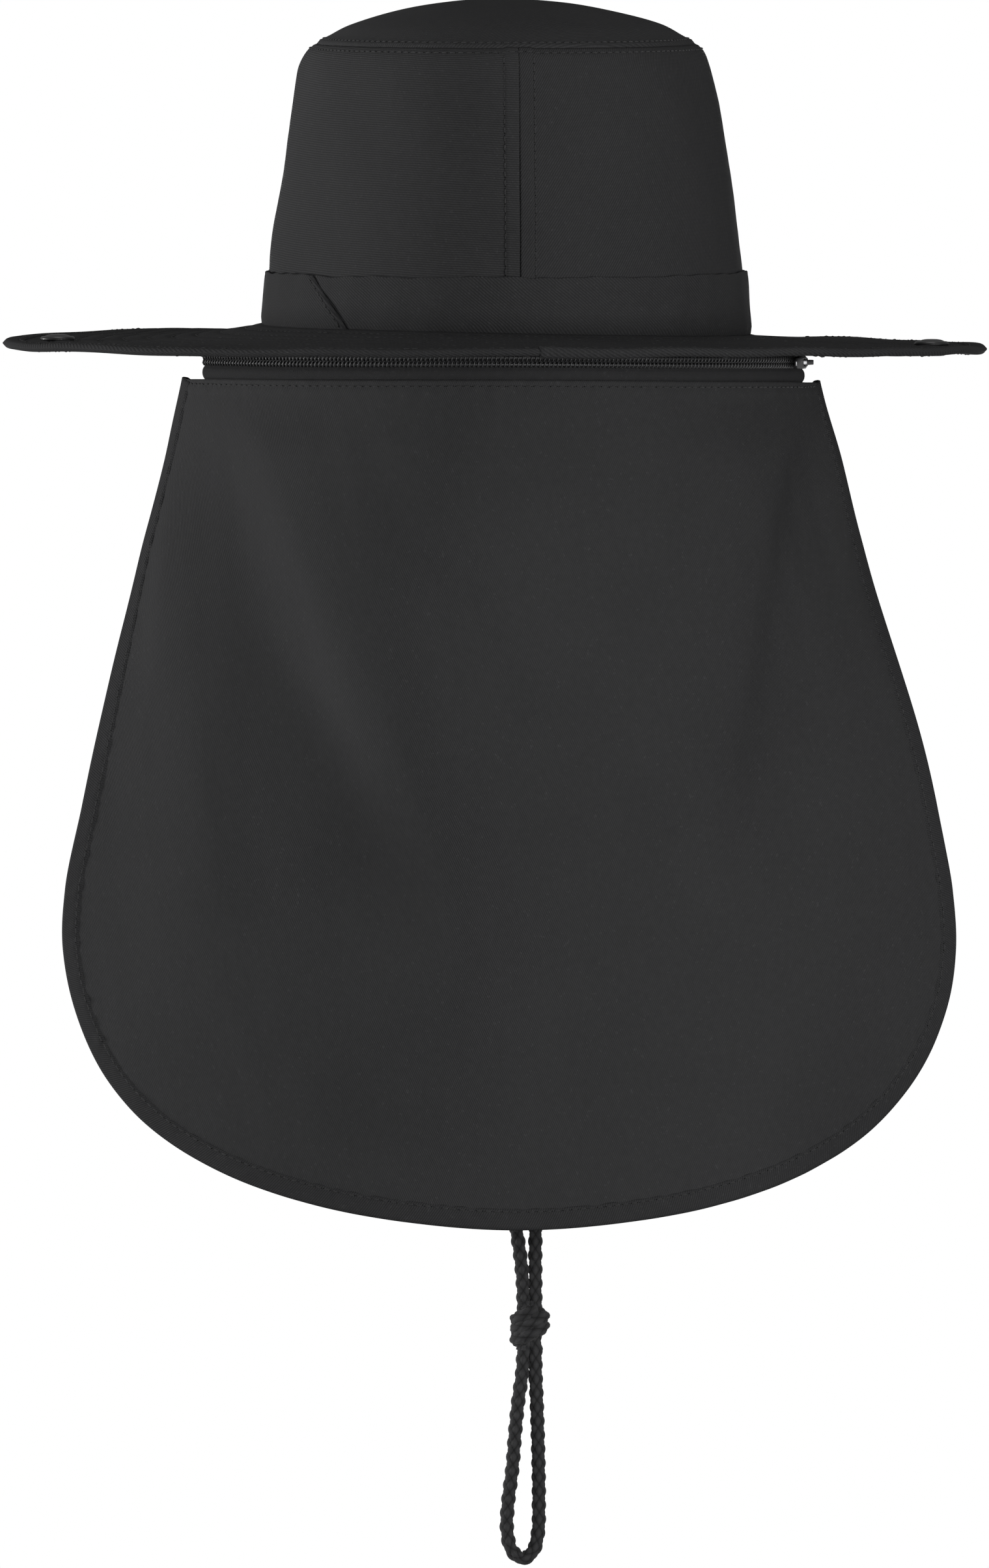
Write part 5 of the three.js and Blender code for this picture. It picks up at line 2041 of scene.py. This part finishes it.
    def tape(self, share: Array, inset: Array, height: Array) -> Array:
        """Points of the tape round the free edge.

        Args:
            share: Share of the way along the edge.
            inset: Distance in from it.
            height: Height share.

        Returns:
            The points.
        """
        around, down = self.edge_place(share, inset)
        run = share * self.edge_length
        relief = -0.24 * MM * bump_at(inset - self.tape_stitch, 0.6 * MM)
        relief = relief + 0.2 * MM * self.puckers.at(run, inset) * bump_at(inset - self.tape_stitch, 2.4 * MM)
        lift = height * self.tape_half + np.sign(height) * relief * (np.abs(height) > 0.3)
        return self.surface(around, down, lift)

    def tape_section(self, around: Array) -> Pair:
        """Inset from the edge and height share round the folded tape.

        Args:
            around: Share of the way round the section.

        Returns:
            Inset and height share at each place.
        """
        turn = np.mod(around, 1)
        outer = self.tape_outer_share
        along = np.clip(turn / outer, 0, 1) * 2 - 1
        nose = np.clip(np.abs(along) / 0.28, 0, 1)
        height = -np.sign(along) * np.sin(nose * math.pi / 2) * (1.0 - 0.06 * np.abs(along))
        inset = self.tape_width * np.abs(along) ** 1.25
        height = height * (1.06 - 0.56 * ease(np.abs(along), 0.92, 1.0))
        back = np.clip((turn - outer) / (1 - outer), 0, 1)
        height = np.where(back > 0, mix(-0.47, 0.47, back), height)
        return np.where(back > 0, self.tape_width, inset), height

    def tape_piece(self) -> Piece:
        """The tape folded round the free edge.

        Returns:
            The tape.
        """
        def lay(along: Array, around: Array) -> Pair:
            """A point of the tape."""
            inset, height = self.tape_section(around)
            flat = flat_of(along * self.edge_length, np.where(height >= 0, inset, -inset))
            return self.tape(along, inset, height), flat

        return cloth_grid("flap_binding_tape", self.tape_columns, self.tape_sides, lay, closed=True)

    def build(self, wardrobe: Wardrobe) -> None:
        """Makes and dresses the flap, its tape and their stitches.

        Args:
            wardrobe: Hands out the finishes.
        """
        cloth = wardrobe.dress(self.cloth_piece(), Look.FLAP, "flap_cloth", "neck_flap")
        tape = wardrobe.dress(self.tape_piece(), Look.FLAP_BINDING, "binding_tape", "flap_binding")
        sewing = Sewing(Thread(), 54)
        top_round, _ = self.edge_place(np.zeros(1), self.tape_width)
        reach = np.linspace(top_round[0], -top_round[0], 800)
        sewing.row(self.cloth, reach, np.full_like(reach, self.top_stitch / self.length), -1)
        stitches = wardrobe.dress(sewing.piece("flap_top_stitches"), Look.THREAD, "flap_cloth")
        tape_sewing = Sewing(Thread(), 55)
        share = np.linspace(0.004, 0.996, 2600)
        for level in (0.95, -0.95):

            def face(along: Array, inset: Array, level: float = level) -> Array:
                """A point of one face of the tape."""
                return self.tape(along, inset, np.full_like(along, level))

            tape_sewing.row(face, share, np.full_like(share, self.tape_stitch), math.copysign(1, level))
        edge = wardrobe.dress(tape_sewing.piece("flap_binding_stitches"), Look.THREAD, "binding_tape")


@dataclass
class Studio:
    """Camera, lights and floor."""

    photo_width: int = 1519
    photo_height: int = 2408
    pixels_a_metre: float = 4147.0
    crown_axis_pixel: float = 777.0
    seam_pixel: float = 500.4
    distance: float = 15.0
    azimuth: float = math.radians(-3.1)
    camera_height: float = 0.405
    sensor: float = 12.0
    floor_height: float = -0.5
    floor_half: float = 14.0
    key_power: float = 114.0
    world_light: float = 0.16
    floor_light: float = 0.2
    light_aim: tuple = (0, 0, -0.12)
    # Name, place, share of the key's power, width and height of each light
    lights: tuple = (
        ("key", (-3.48, 0.93, 0.0), 1.0, 1.2, 0.9),
        ("front", (0.93, -3.48, -0.05), 0.68, 2.2, 0.8),
        ("right_side", (2.55, -2.55, -0.05), 0.12, 1.5, 0.8),
        ("far_side", (0.3, 3.5, -0.25), 0.3, 1.6, 0.45),
        ("above", (0.0, 0.3, 3.6), 0.2, 1.6, 1.6),
    )

    def camera(self) -> None:
        """Sets the camera at the photograph's place and scale."""
        across = (self.photo_width / 2 - self.crown_axis_pixel) / self.pixels_a_metre
        height = (self.seam_pixel - self.photo_height / 2) / self.pixels_a_metre
        right = Vector((math.cos(self.azimuth), math.sin(self.azimuth), 0))
        back = Vector((math.sin(self.azimuth), -math.cos(self.azimuth), 0))
        target = right * across + Vector((0, 0, height))
        place = right * across + back * self.distance + Vector((0, 0, self.camera_height))
        data = bpy.data.cameras.new("camera")
        data.sensor_width = self.sensor
        data.lens = self.sensor * (place - target).length * self.pixels_a_metre / self.photo_height
        camera = bpy.data.objects.new("camera", data)
        camera.location = place
        camera.rotation_euler = (target - place).to_track_quat("-Z", "Y").to_euler()
        bpy.context.scene.collection.objects.link(camera)
        bpy.context.scene.camera = camera

    def light(self, name: str, place: Sequence[float], power: float, width: float, height: float) -> None:
        """Adds a soft light that faces the hat.

        Args:
            name: Name of the light.
            place: Where it stands.
            power: Its power.
            width: Its width.
            height: Its height.
        """
        data = bpy.data.lights.new(name, "AREA")
        data.energy = power
        data.shape = "RECTANGLE"
        data.size = width
        data.size_y = height
        light = bpy.data.objects.new(name, data)
        light.location = place
        aim = Vector(self.light_aim) - Vector(place)
        light.rotation_euler = aim.to_track_quat("-Z", "Y").to_euler()
        bpy.context.scene.collection.objects.link(light)

    def pale(self, node_tree: bpy.types.NodeTree, shader: str, output: str, seen: float, cast: float) -> None:
        """Fills a tree with a white that is seen brighter than the light it casts.

        Args:
            node_tree: The tree.
            shader: Kind of light-giving node.
            output: Kind of output node.
            seen: How bright it looks.
            cast: How much light it casts.
        """
        nodes, links = node_tree.nodes, node_tree.links
        nodes.clear()
        shown, thrown = nodes.new(shader), nodes.new(shader)
        for node, strength in ((shown, seen), (thrown, cast)):
            node.inputs["Color"].default_value = (1, 1, 1, 1)
            node.inputs["Strength"].default_value = strength
        path, choice = nodes.new("ShaderNodeLightPath"), nodes.new("ShaderNodeMixShader")
        out = nodes.new(output)
        links.new(path.outputs["Is Camera Ray"], choice.inputs[0])
        links.new(thrown.outputs[0], choice.inputs[1])
        links.new(shown.outputs[0], choice.inputs[2])
        links.new(choice.outputs[0], out.inputs["Surface"])

    def open_from_below(self, node_tree: bpy.types.NodeTree) -> None:
        """Lets a look from under the floor pass through it.

        Args:
            node_tree: The floor material's tree.
        """
        nodes, links = node_tree.nodes, node_tree.links
        surface = nodes["Material Output"].inputs["Surface"]
        above = surface.links[0].from_socket
        side, choice = nodes.new("ShaderNodeNewGeometry"), nodes.new("ShaderNodeMixShader")
        links.new(side.outputs["Backfacing"], choice.inputs[0])
        links.new(above, choice.inputs[1])
        links.new(nodes.new("ShaderNodeBsdfTransparent").outputs[0], choice.inputs[2])
        links.new(choice.outputs[0], surface)

    def build(self) -> None:
        """Sets up everything round the hat."""
        self.camera()
        world = bpy.data.worlds.new("studio")
        world.use_nodes = True
        bpy.context.scene.world = world
        self.pale(world.node_tree, "ShaderNodeBackground", "ShaderNodeOutputWorld", 1.0, self.world_light)
        bm = bmesh.new()
        bmesh.ops.create_grid(bm, x_segments=1, y_segments=1, size=self.floor_half)
        bmesh.ops.translate(bm, verts=bm.verts, vec=(0, 0, self.floor_height))
        floor = finish_bmesh("floor", bm, smooth=False)
        material = bpy.data.materials.new("floor_white")
        material.use_nodes = True
        self.pale(material.node_tree, "ShaderNodeEmission", "ShaderNodeOutputMaterial", 1.0, self.floor_light)
        self.open_from_below(material.node_tree)
        floor.data.materials.append(material)
        for name, place, share, width, height in self.lights:
            self.light(name, place, self.key_power * share, width, height)
        settings = bpy.context.scene.view_settings
        settings.view_transform = "Standard"
        settings.look = "None"
        log.info("studio: camera, floor and lights")


def main() -> None:
    """Builds the hat in order: studio, cord, crown, band, brim, snaps, zip and flap."""
    form = HatForm()
    wardrobe = Wardrobe()
    Studio().build()
    ChinCord().build(wardrobe)
    Crown(form).build(wardrobe)
    HatBand(form).build(wardrobe)
    Brim(form).build(wardrobe)
    Snaps(form).build(wardrobe)
    Zip(form).build(wardrobe)
    NeckFlap(form).build(wardrobe)


if __name__ == "__main__":
    main()
